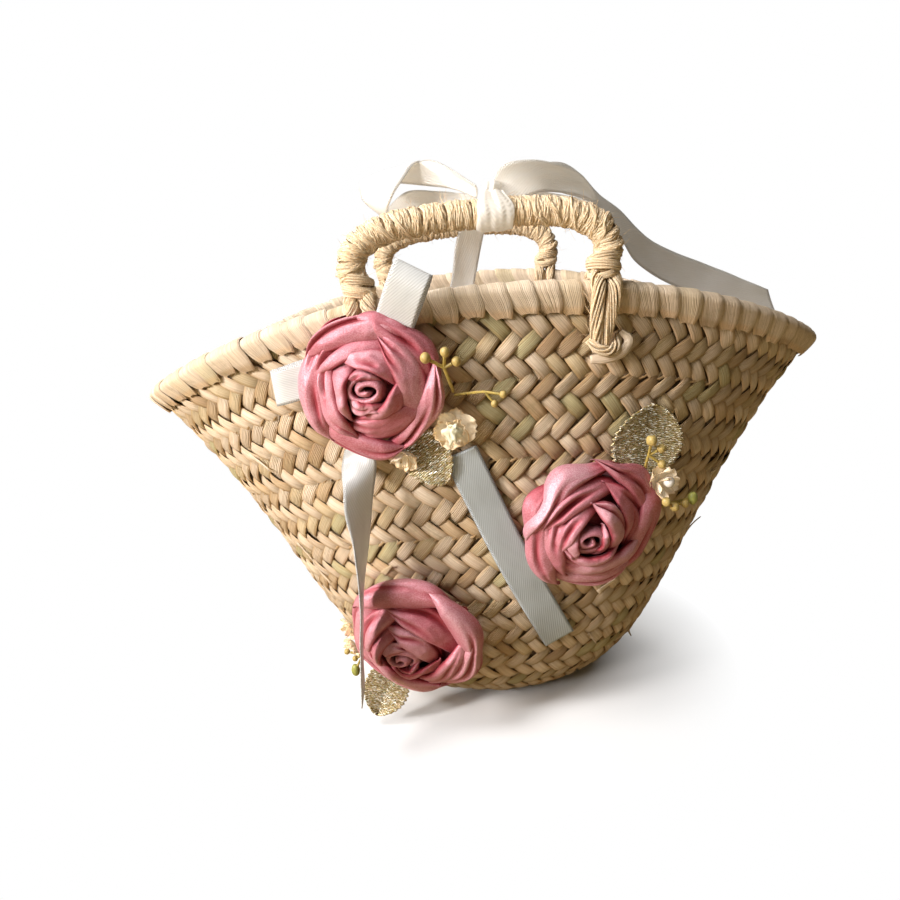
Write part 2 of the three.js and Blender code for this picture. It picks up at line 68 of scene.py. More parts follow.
# ---- The basket's own dimensions, taken from the frame where it holds them ----
BODY_HIGH = node_box("basket_body")[1]
MOUTH = (BODY_HIGH[0], BODY_HIGH[1])
SHOULDER = (63, 53)
BELLY = (59, 50)
FLOOR = (26, 21)
WALL_TOP_MIDDLE = BODY_HIGH[2]
WALL_TOP_TIP = 109
RIM_DROOP_POWER = 2.2
SHOULDER_HEIGHT = 0.51
WALL = 2.2
RIM_DEPTH = 6
ROPE_R = 3.6
FOOT_R = 3.6
HANDLE_ANGLE = 16.6
FOOT_RISE = 2.4 + FOOT_R
ARCH_HEIGHT = 15.2
BOW_X = 4.5
RIBBON_WIDTH = 10
RIBBON_THICK = 0.35
RIBBON_COLUMNS = 11
BOW_STATIONS = 120
ROSE_RIBBON_STATIONS = 90
COOL_TINT = (0.66, 0.71, 0.74)
ROSE_FLOOR = 4.0
# Each cluster's place: degrees round the mouth, and the share of the wall's curve.
SPOTS = {1: (-107.8, 0.907), 2: (-70.8, 0.672), 3: (-115.2, 0.466)}
ROSE_RADIUS = {1: 19.7, 2: 20.6, 3: 22.2}

WEAVE_ROWS = 26
FLOOR_ROWS = 4
STRIP_WIDTH = 4.05
COURSE = 4  # rows plaited together; the courses are sewn edge to edge
CROSSING = math.sqrt(2) * STRIP_WIDTH
RIM_SCALES = 81
LOOSE_SLIVERS = 46
STRAND_THICK = 0.3
LEAF_TEETH = 15
LEAF_CURL = 1.2
OUTER_PETALS = 6
TIED_REACH = 16
FIRST_DRAW = 20


# ---- Numbers in bulk ----
def unit(v):
    """Each vector at length one."""
    return v / np.maximum(np.linalg.norm(v, axis=-1, keepdims=True), 1e-9)


def circle(count):
    """Angles once round, the last one short of the first."""
    return np.linspace(0, 2 * math.pi, count, endpoint=False)


def xyz(*parts):
    """Coordinates given one by one, as one array of points."""
    return np.stack(np.broadcast_arrays(*parts), -1)


def turned(x, y, angle):
    """The point x, y turned by an angle about the origin."""
    return x * np.cos(angle) - y * np.sin(angle), x * np.sin(angle) + y * np.cos(angle)


def smooth_noise(rng, dims, waves=7, low=0.6, high=2.2):
    """A soft random field over points with that many coordinates, roughly from -1 to 1."""
    directions = rng.normal(size=(waves, dims))
    directions = unit(directions) * rng.uniform(low, high, (waves, 1))
    phases = rng.uniform(0, 2 * math.pi, waves)

    def field(points):
        return np.sin(points @ directions.T + phases).sum(-1) / math.sqrt(waves)

    return field


def through(keys, count):
    """A smooth curve through a few key points, as many points as asked, evenly spaced between keys."""
    keys = np.array(keys, float)
    keys = np.vstack([2 * keys[0] - keys[1], keys, 2 * keys[-1] - keys[-2]])
    at = np.linspace(0, len(keys) - 3 - 1e-9, count)
    k = at.astype(int)
    f = (at - k)[:, None]
    p0, p1, p2, p3 = keys[k], keys[k + 1], keys[k + 2], keys[k + 3]
    d0, d1, d2 = (
        np.maximum(np.linalg.norm(b - a, axis=1, keepdims=True), 1e-4) ** 0.5
        for a, b in ((p0, p1), (p1, p2), (p2, p3))
    )
    m1 = (p1 - p0) / d0 - (p2 - p0) / (d0 + d1) + (p2 - p1) / d1
    m2 = (p2 - p1) / d1 - (p3 - p1) / (d1 + d2) + (p3 - p2) / d2
    m1, m2 = m1 * d1, m2 * d1
    return (
        p1
        + m1 * f
        + (3 * (p2 - p1) - 2 * m1 - m2) * f**2
        + (2 * (p1 - p2) + m1 + m2) * f**3
    )


def gone_along(path):
    """The length of a path up to each of its points."""
    return np.r_[0, np.cumsum(np.linalg.norm(np.diff(path, axis=0), axis=1))]


def evenly(path, count):
    """The same path with its points evenly spaced."""
    gone = gone_along(path)
    at = np.linspace(0, gone[-1], count)
    return xyz(*(np.interp(at, gone, path[:, i]) for i in range(3)))


def length_of(path):
    return np.linalg.norm(np.diff(path, axis=0), axis=1).sum()


# ---- The wall as a surface ----
def bezier(s, a, b, c, d):
    return (1 - s) ** 3 * a + 3 * (1 - s) ** 2 * s * b + 3 * (1 - s) * s**2 * c + s**3 * d


def wall_point(u, s):
    """The outer face of the wall at an angle u and a share s of its curve from floor to rim."""
    c, d = np.cos(u), np.sin(u)
    top = WALL_TOP_MIDDLE - (WALL_TOP_MIDDLE - WALL_TOP_TIP) * np.abs(c) ** RIM_DROOP_POWER
    x = c * bezier(s, FLOOR[0], BELLY[0], SHOULDER[0], MOUTH[0])
    y = d * bezier(s, FLOOR[1], BELLY[1], SHOULDER[1], MOUTH[1])
    return xyz(x, y, bezier(s, 0, 0, SHOULDER_HEIGHT * top, top))


def wall_axes(u, s):
    """A point of the wall with its side, rise and out directions."""
    step = 1e-4
    side = unit(wall_point(u + step, s) - wall_point(u - step, s))
    climb = wall_point(u, np.minimum(s + step, 1)) - wall_point(u, np.maximum(s - step, 0))
    out = unit(np.cross(side, climb))
    return wall_point(u, s), side, np.cross(out, side), out


ANGLES = np.linspace(-math.pi, math.pi, 361)
SHARES = np.linspace(0, 1, 161)
_steps = np.linalg.norm(np.diff(wall_point(ANGLES[:, None], SHARES[None, :]), axis=1), axis=-1)
_climbed = np.hstack([np.zeros((len(ANGLES), 1)), np.cumsum(_steps, 1)])
WALL_LENGTH = _climbed[:, -1]
EVEN_SHARES = np.array([np.interp(SHARES * row[-1], row, SHARES) for row in _climbed])


def share_at(u, t):
    """The share of the wall's curve that lies an even fraction t up its length."""
    u = (u + math.pi) % (2 * math.pi) - math.pi
    i = np.clip((u + math.pi) / (2 * math.pi) * (len(ANGLES) - 1), 0, len(ANGLES) - 1.001)
    j = np.clip(t, 0, 1) * (len(SHARES) - 1.001)
    i0, j0 = i.astype(int), j.astype(int)
    fi, fj = i - i0, j - j0
    low = EVEN_SHARES[i0, j0] * (1 - fi) + EVEN_SHARES[i0 + 1, j0] * fi
    high = EVEN_SHARES[i0, j0 + 1] * (1 - fi) + EVEN_SHARES[i0 + 1, j0 + 1] * fi
    return low * (1 - fj) + high * fj


def wall_length(u):
    return np.interp((u + math.pi) % (2 * math.pi) - math.pi, ANGLES, WALL_LENGTH)


def skin(u, t, n):
    """Points n out from the wall. Below the wall (t under 0) the surface runs on over the flat floor."""
    u, t, n = np.broadcast_arrays(u, t, n)
    at, _, _, out = wall_axes(u, share_at(u, t))
    reach = np.maximum(1 + np.minimum(t, 0) * wall_length(u) / np.mean(FLOOR), 0.02)
    flat = xyz(FLOOR[0] * np.cos(u) * reach, FLOOR[1] * np.sin(u) * reach, 0 * u)
    below = (t < 0)[..., None]
    return np.where(below, flat, at) + np.where(below, -UP, out) * n[..., None]


def ring_spacing(t):
    """The length round the wall at an even height t, and the angle for each share of that length."""
    u = np.linspace(-math.pi, math.pi, 1441)
    ring = skin(u, np.full_like(u, t), np.zeros_like(u))
    gone = gone_along(ring)
    return gone[-1], lambda w: np.interp(w % 1, gone / gone[-1], u)


def axes_at(around, up=1.0):
    """The wall's axes at one place, given in degrees round the mouth."""
    return wall_axes(np.array(math.radians(around)), np.array(up))


def in_spot(number):
    """A function that carries points from a cluster's own axes (side, rise, out) to the frame."""
    at, side, rise, out = axes_at(*SPOTS[number])
    basis = np.stack([side, rise, out])
    return lambda points: np.asarray(points, float) @ basis + at


# ---- Meshes ----
def grid_faces(rows, cols, count=1, wrap_rows=False, wrap_cols=False):
    """The quads of `count` grids stored one after another; they face the way rows x columns points."""
    r = np.arange(rows if wrap_rows else rows - 1)[:, None]
    c = np.arange(cols if wrap_cols else cols - 1)[None, :]
    r1, c1 = (r + 1) % rows, (c + 1) % cols
    quads = xyz(r * cols + c, r1 * cols + c, r1 * cols + c1, r * cols + c1)
    starts = np.arange(count) * rows * cols
    return (quads.reshape(1, -1, 4) + starts[:, None, None]).reshape(-1, 4)


def end_caps(rows, cols, count=1):
    """Two end faces for each swept ring."""
    starts = (np.arange(count) * rows * cols)[:, None]
    first = starts + np.arange(cols)[None, :]
    last = starts + (rows - 1) * cols + np.arange(cols)[None, ::-1]
    return np.vstack([first, last])


def swept(rows, cols, count=1, flip=False):
    """The faces of closed bodies made of rows of rings, their two ends included."""
    faces = [grid_faces(rows, cols, count, wrap_cols=True), end_caps(rows, cols, count)]
    return [face[:, ::-1] for face in faces] if flip else faces


def mark(mesh, grain, tint):
    """The two attributes that the materials read at each point."""
    rgba = np.hstack([tint, np.ones((len(tint), 1))])
    kinds = (("grain", "FLOAT_VECTOR", "vector", grain), ("tint", "FLOAT_COLOR", "color", rgba))
    for name, kind, key, values in kinds:
        data = mesh.attributes.new(name, kind, "POINT").data
        data.foreach_set(key, values.astype(np.float32).ravel())


def put(name, data):
    """A new object in the scene."""
    thing = bpy.data.objects.new(name, data)
    bpy.context.scene.collection.objects.link(thing)
    return thing


class Pile:
    """Collects points, faces, grain coordinates and tints for one mesh."""

    def __init__(self):
        self.points, self.faces, self.grain, self.tint = [], [], [], []
        self.count = 0

    def add(self, points, faces, grain=None, tint=None):
        points = np.asarray(points, float).reshape(-1, 3)
        n = len(points)
        grain = points if grain is None else np.asarray(grain, float).reshape(-1, 3)
        tint = (1, 1, 1) if tint is None else tint
        tint = np.broadcast_to(np.asarray(tint, float).reshape(-1, 3), (n, 3))
        self.points.append(points)
        self.grain.append(grain)
        self.tint.append(tint)
        self.faces += [np.asarray(f) + self.count for f in faces]
        self.count += n
        return self

    def build(self, name, finish, stands_for=None, body="basket"):
        """The piece, on one body. Given (body, body, start, end) instead, it stays on no body with its
        transform baked in.
        """
        slot, surface = finish
        mesh = bpy.data.meshes.new(name)
        points = np.vstack(self.points)
        sizes = np.concatenate([np.full(len(f), f.shape[1]) for f in self.faces])
        corners = np.concatenate([f.ravel() for f in self.faces])
        mesh.vertices.add(len(points))
        mesh.vertices.foreach_set("co", (points * MM).ravel())
        mesh.loops.add(len(corners))
        mesh.loops.foreach_set("vertex_index", corners.astype(np.int32))
        mesh.polygons.add(len(sizes))
        starts = np.r_[0, np.cumsum(sizes)[:-1]]
        mesh.polygons.foreach_set("loop_start", starts.astype(np.int32))
        mesh.polygons.foreach_set("loop_total", sizes.astype(np.int32))
        mesh.polygons.foreach_set("use_smooth", np.ones(len(sizes), bool))
        mesh.update(calc_edges=True)
        mark(mesh, np.vstack(self.grain), np.vstack(self.tint))
        mesh.materials.append(surface)
        piece = put(name, mesh)
        if isinstance(body, str):
            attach(piece, body)
        else:
            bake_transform(piece)
        if stands_for:
            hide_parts(stands_for)


def tubes(pile, paths, radii, facing, sides=6, tint=None, twist=0.0):
    """Round cords along paths of equal point count. Facing fixes where each ring of points starts."""
    paths = np.asarray(paths, float)
    if paths.ndim == 2:
        paths = paths[None]
    k, n, _ = paths.shape
    along = unit(np.gradient(paths, axis=1))
    facing = np.broadcast_to(np.asarray(facing, float), paths.shape)
    side = unit(np.cross(along, facing))
    up = np.cross(side, along)
    phi = circle(sides)
    radii = np.broadcast_to(np.asarray(radii, float), (k, n))[..., None, None]
    ring = up[:, :, None] * np.cos(phi)[:, None] - side[:, :, None] * np.sin(phi)[:, None]
    points = paths[:, :, None] + ring * radii
    gone = np.cumsum(np.linalg.norm(np.diff(paths, axis=1, prepend=paths[:, :1]), axis=-1), 1)
    turn = phi[None, None] + twist * gone[..., None]
    far = np.broadcast_to(gone[..., None], turn.shape) + np.arange(k)[:, None, None] * 37.0
    grain = xyz(np.cos(turn) * radii[..., 0], np.sin(turn) * radii[..., 0], far)
    if tint is not None:
        tint = np.broadcast_to(np.asarray(tint, float).reshape(-1, 1, 1, 3), (k, n, sides, 3))
    return pile.add(points, swept(n, sides, k), grain, tint)


def slab(pile, sheet, thick, grain=None, tint=None):
    """A thin closed body round a sheet of points (rows x columns)."""
    rows, cols = sheet.shape[:2]
    along = np.gradient(sheet, axis=0)
    across = np.gradient(sheet, axis=1)
    out = unit(np.cross(along, across)) * thick / 2
    ring = np.concatenate([sheet + out, (sheet - out)[:, ::-1]], 1)
    if grain is not None:
        grain = np.concatenate([grain, grain[:, ::-1]], 1)
    if tint is not None:
        tint = np.broadcast_to(np.asarray(tint, float), sheet.shape)
        tint = np.concatenate([tint, tint[:, ::-1]], 1)
    return pile.add(ring, swept(rows, 2 * cols), grain, tint)


def lathe(pile, profile, place, sides=20, tint=None, wobble=None):
    """A closed turned shape about its own Z, from its lowest point on the axis to its highest."""
    profile = np.array(profile, float)
    phi = circle(sides)
    r = np.maximum(profile[:, :1], 0.02)
    points = xyz(r * np.cos(phi), r * np.sin(phi), profile[:, 1:] + 0 * phi)
    if wobble is not None:
        points = points * (1 + wobble(points)[..., None])
    faces = swept(len(profile), sides, flip=True)
    return pile.add(place(points.reshape(-1, 3)), faces, points, tint)


# ---- Materials ----
VEIN_BROWN = (0.34, 0.22, 0.11)
RIB_BROWN = (0.3, 0.2, 0.09)
FIBRE_CREAM = (1.0, 0.88, 0.7)
BLOTCH_BROWN = (0.33, 0.26, 0.12)
TWILL_GREY = (0.3, 0.29, 0.26)
STITCH_GREY = (0.35, 0.33, 0.3)
ROSE_SHEEN = (1, 0.6, 0.66, 1)
PALE_GOLD = (0.82, 0.74, 0.44)
ROSE_GOLD = (0.88, 0.7, 0.5)
GREEN_GLINT = (0.4, 0.62, 0.5)
SHADED_FLAKE_GOLD = (0.25, 0.17, 0.04)
GLINT_FLAKE_GOLD = (1.0, 0.98, 0.86)
THREAD_SHADOW = (0.3, 0.21, 0.06)


class Surface:
    """A procedural material whose nodes are added and wired in one call each."""

    def __init__(self, name, roughness, **inputs):
        self.material = bpy.data.materials.new(name)
        self.material.use_nodes = True
        self.nodes = self.material.node_tree.nodes
        self.links = self.material.node_tree.links
        self.shader = self.nodes["Principled BSDF"]
        self.feed(self.shader, {"Roughness": roughness, **inputs})

    def feed(self, node, inputs):
        for key, value in inputs.items():
            if isinstance(value, bpy.types.NodeSocket):
                self.links.new(value, node.inputs[key])
            else:
                node.inputs[key].default_value = value
        return node

    def node(self, kind, inputs=(), **settings):
        node = self.nodes.new("ShaderNode" + kind)
        for key, value in settings.items():
            setattr(node, key, value)
        return self.feed(node, dict(inputs))

    def shape(self, **inputs):
        self.feed(self.shader, {key.replace("_", " "): value for key, value in inputs.items()})
        return self.material

    def grain(self, stretch=(1, 1, 1), attribute="grain"):
        source = self.node("Attribute", attribute_name=attribute).outputs["Vector"]
        scaled = self.node("VectorMath", {0: source, 1: stretch}, operation="MULTIPLY")
        return scaled.outputs[0]

    def tint(self):
        return self.node("Attribute", attribute_name="tint").outputs["Color"]

    def part(self, vector, axis):
        return self.node("SeparateXYZ", {0: vector}).outputs[axis]

    def noise(self, vector, detail=3.0, rough=0.55, scale=1.0):
        inputs = {"Vector": vector, "Scale": scale, "Detail": detail, "Roughness": rough}
        return self.node("TexNoise", inputs).outputs["Fac"]

    def cells(self, vector, scale):
        return self.node("TexVoronoi", {"Vector": vector, "Scale": scale}).outputs["Color"]

    def sum(self, operation, a, b=0.0, c=0.0):
        return self.node("Math", {0: a, 1: b, 2: c}, operation=operation).outputs[0]

    def ramp(self, value, low, high, to=(0.0, 1.0)):
        inputs = {"Value": value, 1: low, 2: high, 3: to[0], 4: to[1]}
        return self.node("MapRange", inputs, clamp=True).outputs[0]

    def mix(self, share, a, b, mode="MIX"):
        node = self.node("Mix", data_type="RGBA", blend_type=mode)
        for slot, value in ((0, share), (6, a), (7, b)):
            if isinstance(value, bpy.types.NodeSocket):
                self.links.new(value, node.inputs[slot])
            else:
                node.inputs[slot].default_value = value if slot == 0 else (*value, 1)
        return node.outputs[2]

    def let_through(self, colour, share):
        return self.blend_in(share, self.node("BsdfTranslucent", {"Color": colour}))

    def blend_in(self, share, other):
        mixed = self.node("MixShader", {0: share, 1: self.shader.outputs[0], 2: other.outputs[0]})
        self.links.new(mixed.outputs[0], self.nodes["Material Output"].inputs[0])
        return self.material

    def bump(self, height, depth, strength=1.0, over=None):
        inputs = {"Height": height, "Distance": depth * MM, "Strength": strength}
        if over is not None:
            inputs["Normal"] = over
        return self.node("Bump", inputs).outputs[0]


def palm_leaf(name, roughness=0.5, shine=0.3, ribs=0.2):
    """Dried palm leaf: regular fine ribs along each strip, blotches and the odd dark vein."""
    s = Surface(name, roughness)
    vein = s.noise(s.grain((2.6, 0.05, 1)), 3)
    fine = s.noise(s.grain((9, 0.12, 1)), 2)
    blotch = s.noise(s.grain((0.22, 0.2, 1)), 3)
    sway = s.sum("MULTIPLY_ADD", vein, 2.2, s.sum("MULTIPLY", s.part(s.grain(), 0), 13.0))
    rib = s.sum("SINE", sway)
    colour = s.mix(s.ramp(vein, 0.36, 0.68, (0.0, 0.45)), s.tint(), VEIN_BROWN)
    colour = s.mix(s.ramp(rib, 0.1, 0.95, (0.0, ribs)), colour, RIB_BROWN)
    colour = s.mix(s.ramp(fine, 0.4, 0.75, (0.0, 0.4)), colour, FIBRE_CREAM, "SOFT_LIGHT")
    colour = s.mix(s.ramp(blotch, 0.55, 0.75, (0.0, 0.4)), colour, BLOTCH_BROWN)
    fibre = s.sum("ADD", vein, s.sum("MULTIPLY", fine, 0.5))
    height = s.sum("SUBTRACT", fibre, s.sum("MULTIPLY", rib, 0.8 * ribs))
    rough = s.ramp(blotch, 0.2, 0.8, (roughness - 0.1, roughness + 0.15))
    return s.shape(
        Base_Color=colour, Roughness=rough, Normal=s.bump(height, 0.26), Specular_IOR_Level=shine
    )


def sisal_fibre(name, light, dark):
    """Twisted sisal: long fine fibres, straw coloured with brown ones among them."""
    s = Surface(name, 0.6)
    fibres = s.noise(s.grain((7, 7, 0.5)), 2)
    patch = s.noise(s.grain((0.5, 0.5, 0.12)), 3)
    colour = s.mix(s.ramp(fibres, 0.35, 0.65), dark, light)
    colour = s.mix(s.ramp(patch, 0.45, 0.75, (0, 0.5)), colour, dark)
    colour = s.mix(1.0, colour, s.tint(), "MULTIPLY")
    return s.shape(
        Base_Color=colour, Normal=s.bump(fibres, 0.25), Sheen_Weight=0.15, Specular_IOR_Level=0.35
    )


def satin_ribbon(name, colour, shade, through, selvedge=0.3, weave=0.12):
    """Polyester satin: fine diagonal twill, a soft sheen, stitched selvedges and some light let through,
    with a faint glow of its own colour that is painted light.
    """
    s = Surface(name, 0.34, Metallic=0.1)
    vector = s.grain()
    across, along = s.part(vector, 0), s.part(vector, 1)
    diagonal = s.sum("ADD", across, s.sum("MULTIPLY", along, 0.55))
    twill = s.sum("SINE", s.sum("MULTIPLY", diagonal, 9.0))
    dots = s.sum("SINE", s.sum("MULTIPLY", along, 12.0))
    edge = s.ramp(s.sum("ABSOLUTE", across), RIBBON_WIDTH / 2 - 0.75, RIBBON_WIDTH / 2 - 0.55)
    lines = s.sum("MULTIPLY", twill, 0.5)
    stitches = s.sum("MULTIPLY", s.sum("MULTIPLY", dots, edge), 1.6)
    height = s.sum("ADD", lines, stitches)
    cloud = s.noise(s.grain((0.15, 0.06, 1)), 3)
    tone = s.mix(s.ramp(cloud, 0.35, 0.7), colour, shade)
    tone = s.mix(s.ramp(twill, -1, 1, (0, weave)), tone, TWILL_GREY, "MULTIPLY")
    thread = s.sum("MULTIPLY", edge, s.ramp(dots, -0.2, 0.6, (0, selvedge)))
    tone = s.mix(thread, tone, STITCH_GREY)
    tone = s.mix(1.0, tone, s.tint(), "MULTIPLY")
    s.shape(
        Base_Color=tone,
        Normal=s.bump(height, 0.05),
        Sheen_Weight=0.35,
        Sheen_Roughness=0.3,
        Anisotropic=0.5,
        Specular_IOR_Level=0.55,
        # Painted light: the satin glows faintly in its own colour, at half the share it lets through.
        Emission_Color=tone,
        Emission_Strength=0.5 * through,
    )
    return s.let_through(tone, through)


def crepe_satin(name, colour, deep, light):
    """Crepe satin: a soft sheen, a pebbled surface and small wrinkles along the band."""
    s = Surface(name, 0.4, Metallic=0.16)
    pebble = s.noise(s.grain((3.4, 3.4, 3.4)), 1, 0.6)
    wrinkle = s.noise(s.grain((0.34, 0.34, 0.2)), 1, 0.4)
    cloud = s.noise(s.grain((0.2, 0.2, 0.16)), 2)
    base = s.mix(s.ramp(cloud, 0.35, 0.7, (0, 0.5)), colour, deep)
    # Painted highlight: the raised tops of the pebbling are mixed towards the light colour.
    base = s.mix(s.ramp(pebble, 0.4, 0.64, (0.12, 0.5)), base, light)
    base = s.mix(1.0, base, s.tint(), "MULTIPLY")
    coarse = s.bump(wrinkle, 0.8, 0.7)
    return s.shape(
        Base_Color=base,
        Normal=s.bump(pebble, 0.1, 1.0, coarse),
        Sheen_Weight=0.16,
        Sheen_Roughness=0.35,
        Sheen_Tint=ROSE_SHEEN,
        Specular_IOR_Level=0.28,
    )


def glitter_fabric(name):
    """Champagne lame: metal threads that run across the leaf. Its flakes are painted dark or bright and the
    brightest glow, as painted shade and glints for how each catches the light.
    """
    s = Surface(name, 0.38, Metallic=0.45)
    flake = s.cells(s.grain((3.0, 1.05, 1.0)), 1.5)
    value, hue = s.part(flake, 0), s.part(flake, 1)
    colour = s.mix(s.ramp(hue, 0.45, 0.55), PALE_GOLD, ROSE_GOLD)
    colour = s.mix(s.ramp(hue, 0.95, 0.96), colour, GREEN_GLINT)
    # Painted shade and glints: flakes run from dark gold to near white, and the brightest few glow.
    colour = s.mix(s.ramp(value, 0.1, 0.6), SHADED_FLAKE_GOLD, colour)
    colour = s.mix(s.ramp(value, 0.72, 0.8), colour, GLINT_FLAKE_GOLD)
    vector = s.grain()
    wave = s.noise(s.grain((0.5, 0.5, 1)), 2)
    place = s.sum("MULTIPLY_ADD", s.part(vector, 0), 11.0, s.sum("MULTIPLY", s.part(vector, 1), 2.0))
    threads = s.sum("SINE", s.sum("MULTIPLY_ADD", wave, 7.0, place))
    colour = s.mix(s.ramp(threads, -1, 0.6, (0.6, 0)), colour, THREAD_SHADOW)
    colour = s.mix(1.0, colour, s.tint(), "MULTIPLY")
    glint_glow = s.ramp(value, 0.88, 0.92, (0.0, 0.4))
    height = s.sum("ADD", s.sum("MULTIPLY", value, 0.6), s.sum("MULTIPLY", threads, 0.5))
    return s.shape(
        Base_Color=colour,
        Normal=s.bump(height, 0.3),
        Roughness=s.ramp(value, 0, 1, (0.55, 0.2)),
        Emission_Color=colour,
        Emission_Strength=glint_glow,
    )


def crinkled_paper(name, colour, edge):
    """Thin crinkled paper that browns towards its rim, with a faint glow of its own colour: painted light
    that fills its shadows.
    """
    s = Surface(name, 0.9)
    crease = s.noise(s.grain((1.3, 1.3, 1.3)), 4, 0.6)
    base = s.mix(s.ramp(crease, 0.4, 0.7, (0, 0.5)), colour, edge)
    base = s.mix(1.0, base, s.tint(), "MULTIPLY")
    return s.shape(
        Base_Color=base,
        Normal=s.bump(crease, 0.35),
        Specular_IOR_Level=0.1,
        # Painted light: a faint glow in the paper's own colour.
        Emission_Color=base,
        Emission_Strength=0.1,
    )


def moulded(name, colour, other, roughness=0.4, bump=0.05, **more):
    """Painted or moulded plastic and paste, with a little mottling."""
    s = Surface(name, roughness, **more)
    mottle = s.noise(s.grain((1.1, 1.1, 1.1)), 4)
    base = s.mix(s.ramp(mottle, 0.35, 0.7), colour, other)
    rough = s.ramp(mottle, 0.3, 0.7, (roughness - 0.06, roughness + 0.1))
    return s.shape(Base_Color=base, Normal=s.bump(mottle, bump), Roughness=rough)


# Each finish is the record's material slot with the material that draws it.
PALM = "palm", palm_leaf("palm_leaf", ribs=0.08)
PALM_RIBBED = "palm", palm_leaf("palm_leaf_ribbed", 0.58, 0.25, 0.42)
PALM_INSIDE = "palm", palm_leaf("palm_leaf_inside", 0.65)
PALM_RIM = "rim_palm", palm_leaf("palm_rim", 0.5)
# Painted shade: a dark brown sheet that shows in the gaps between the strips.
PALM_SHADE_SHEET = "palm", moulded("palm_shadow", (0.12, 0.075, 0.035), (0.2, 0.13, 0.07), 0.9, 0.2)
SISAL = "sisal", sisal_fibre("sisal", (1.0, 0.9, 0.69), (0.7, 0.45, 0.21))
ROPE = "rope", sisal_fibre("rope_core", (0.5, 0.34, 0.17), (0.24, 0.14, 0.06))
CREAM = "cream_satin", satin_ribbon("cream_satin", (0.96, 0.93, 0.88), (0.9, 0.86, 0.78), 0.3, 0.3, 0.03)
SILVER = "silver_satin", satin_ribbon("silver_satin", (0.79, 0.8, 0.79), (0.67, 0.68, 0.67), 0.1, 0.45, 0.2)
ROSE = "rose_satin", crepe_satin(
    "rose_satin", (0.53, 0.165, 0.205), (0.38, 0.07, 0.095), (0.78, 0.47, 0.52)
)
FELT = "felt", crinkled_paper("felt", (0.6, 0.25, 0.28), (0.45, 0.16, 0.2))
GLUE = "glue", moulded(
    "glue", (0.85, 0.82, 0.76), (0.8, 0.76, 0.68), 0.2, 0.1, **{"Transmission Weight": 0.35}
)
GOLD = "gold_leaf", glitter_fabric("gold_leaf")
PAPER = "paper", crinkled_paper("paper", (0.96, 0.85, 0.66), (0.88, 0.7, 0.46))
PAPER_CENTRE = "paper_centre", crinkled_paper("paper_centre", (0.82, 0.77, 0.55), (0.62, 0.55, 0.32))
PEARL = "pearl", moulded(
    "pearl", (0.92, 0.88, 0.82), (0.88, 0.82, 0.78), 0.18, 0.01, **{"Coat Weight": 0.6}
)
STEM = "stem", moulded("stem", (0.52, 0.37, 0.08), (0.36, 0.28, 0.08), 0.5)
BERRY = "berry", moulded("berry", (0.56, 0.4, 0.13), (0.34, 0.26, 0.08), 0.42)
GREEN_BERRY = "green_berry", moulded("green_berry", (0.36, 0.36, 0.08), (0.24, 0.26, 0.07), 0.42)

LEAF_SHADES = np.array(
    [
        (0.84, 0.69, 0.53),
        (0.78, 0.62, 0.46),
        (0.7, 0.56, 0.36),
        (0.58, 0.53, 0.31),
        (0.64, 0.47, 0.3),
        (0.48, 0.33, 0.2),
    ]
)
SMOOTH_SHARES = (0.5, 0.27, 0.08, 0.03, 0.1, 0.02)
RIBBED_SHARES = (0.28, 0.27, 0.2, 0.13, 0.08, 0.04)


def leaf_tints(rng, count, shares=SMOOTH_SHARES):
    """One colour for each strip: mostly cream and straw, some green, some tan."""
    pick = rng.choice(len(LEAF_SHADES), count, p=shares)
    return LEAF_SHADES[pick] * rng.uniform(0.84, 1.12, (count, 1))


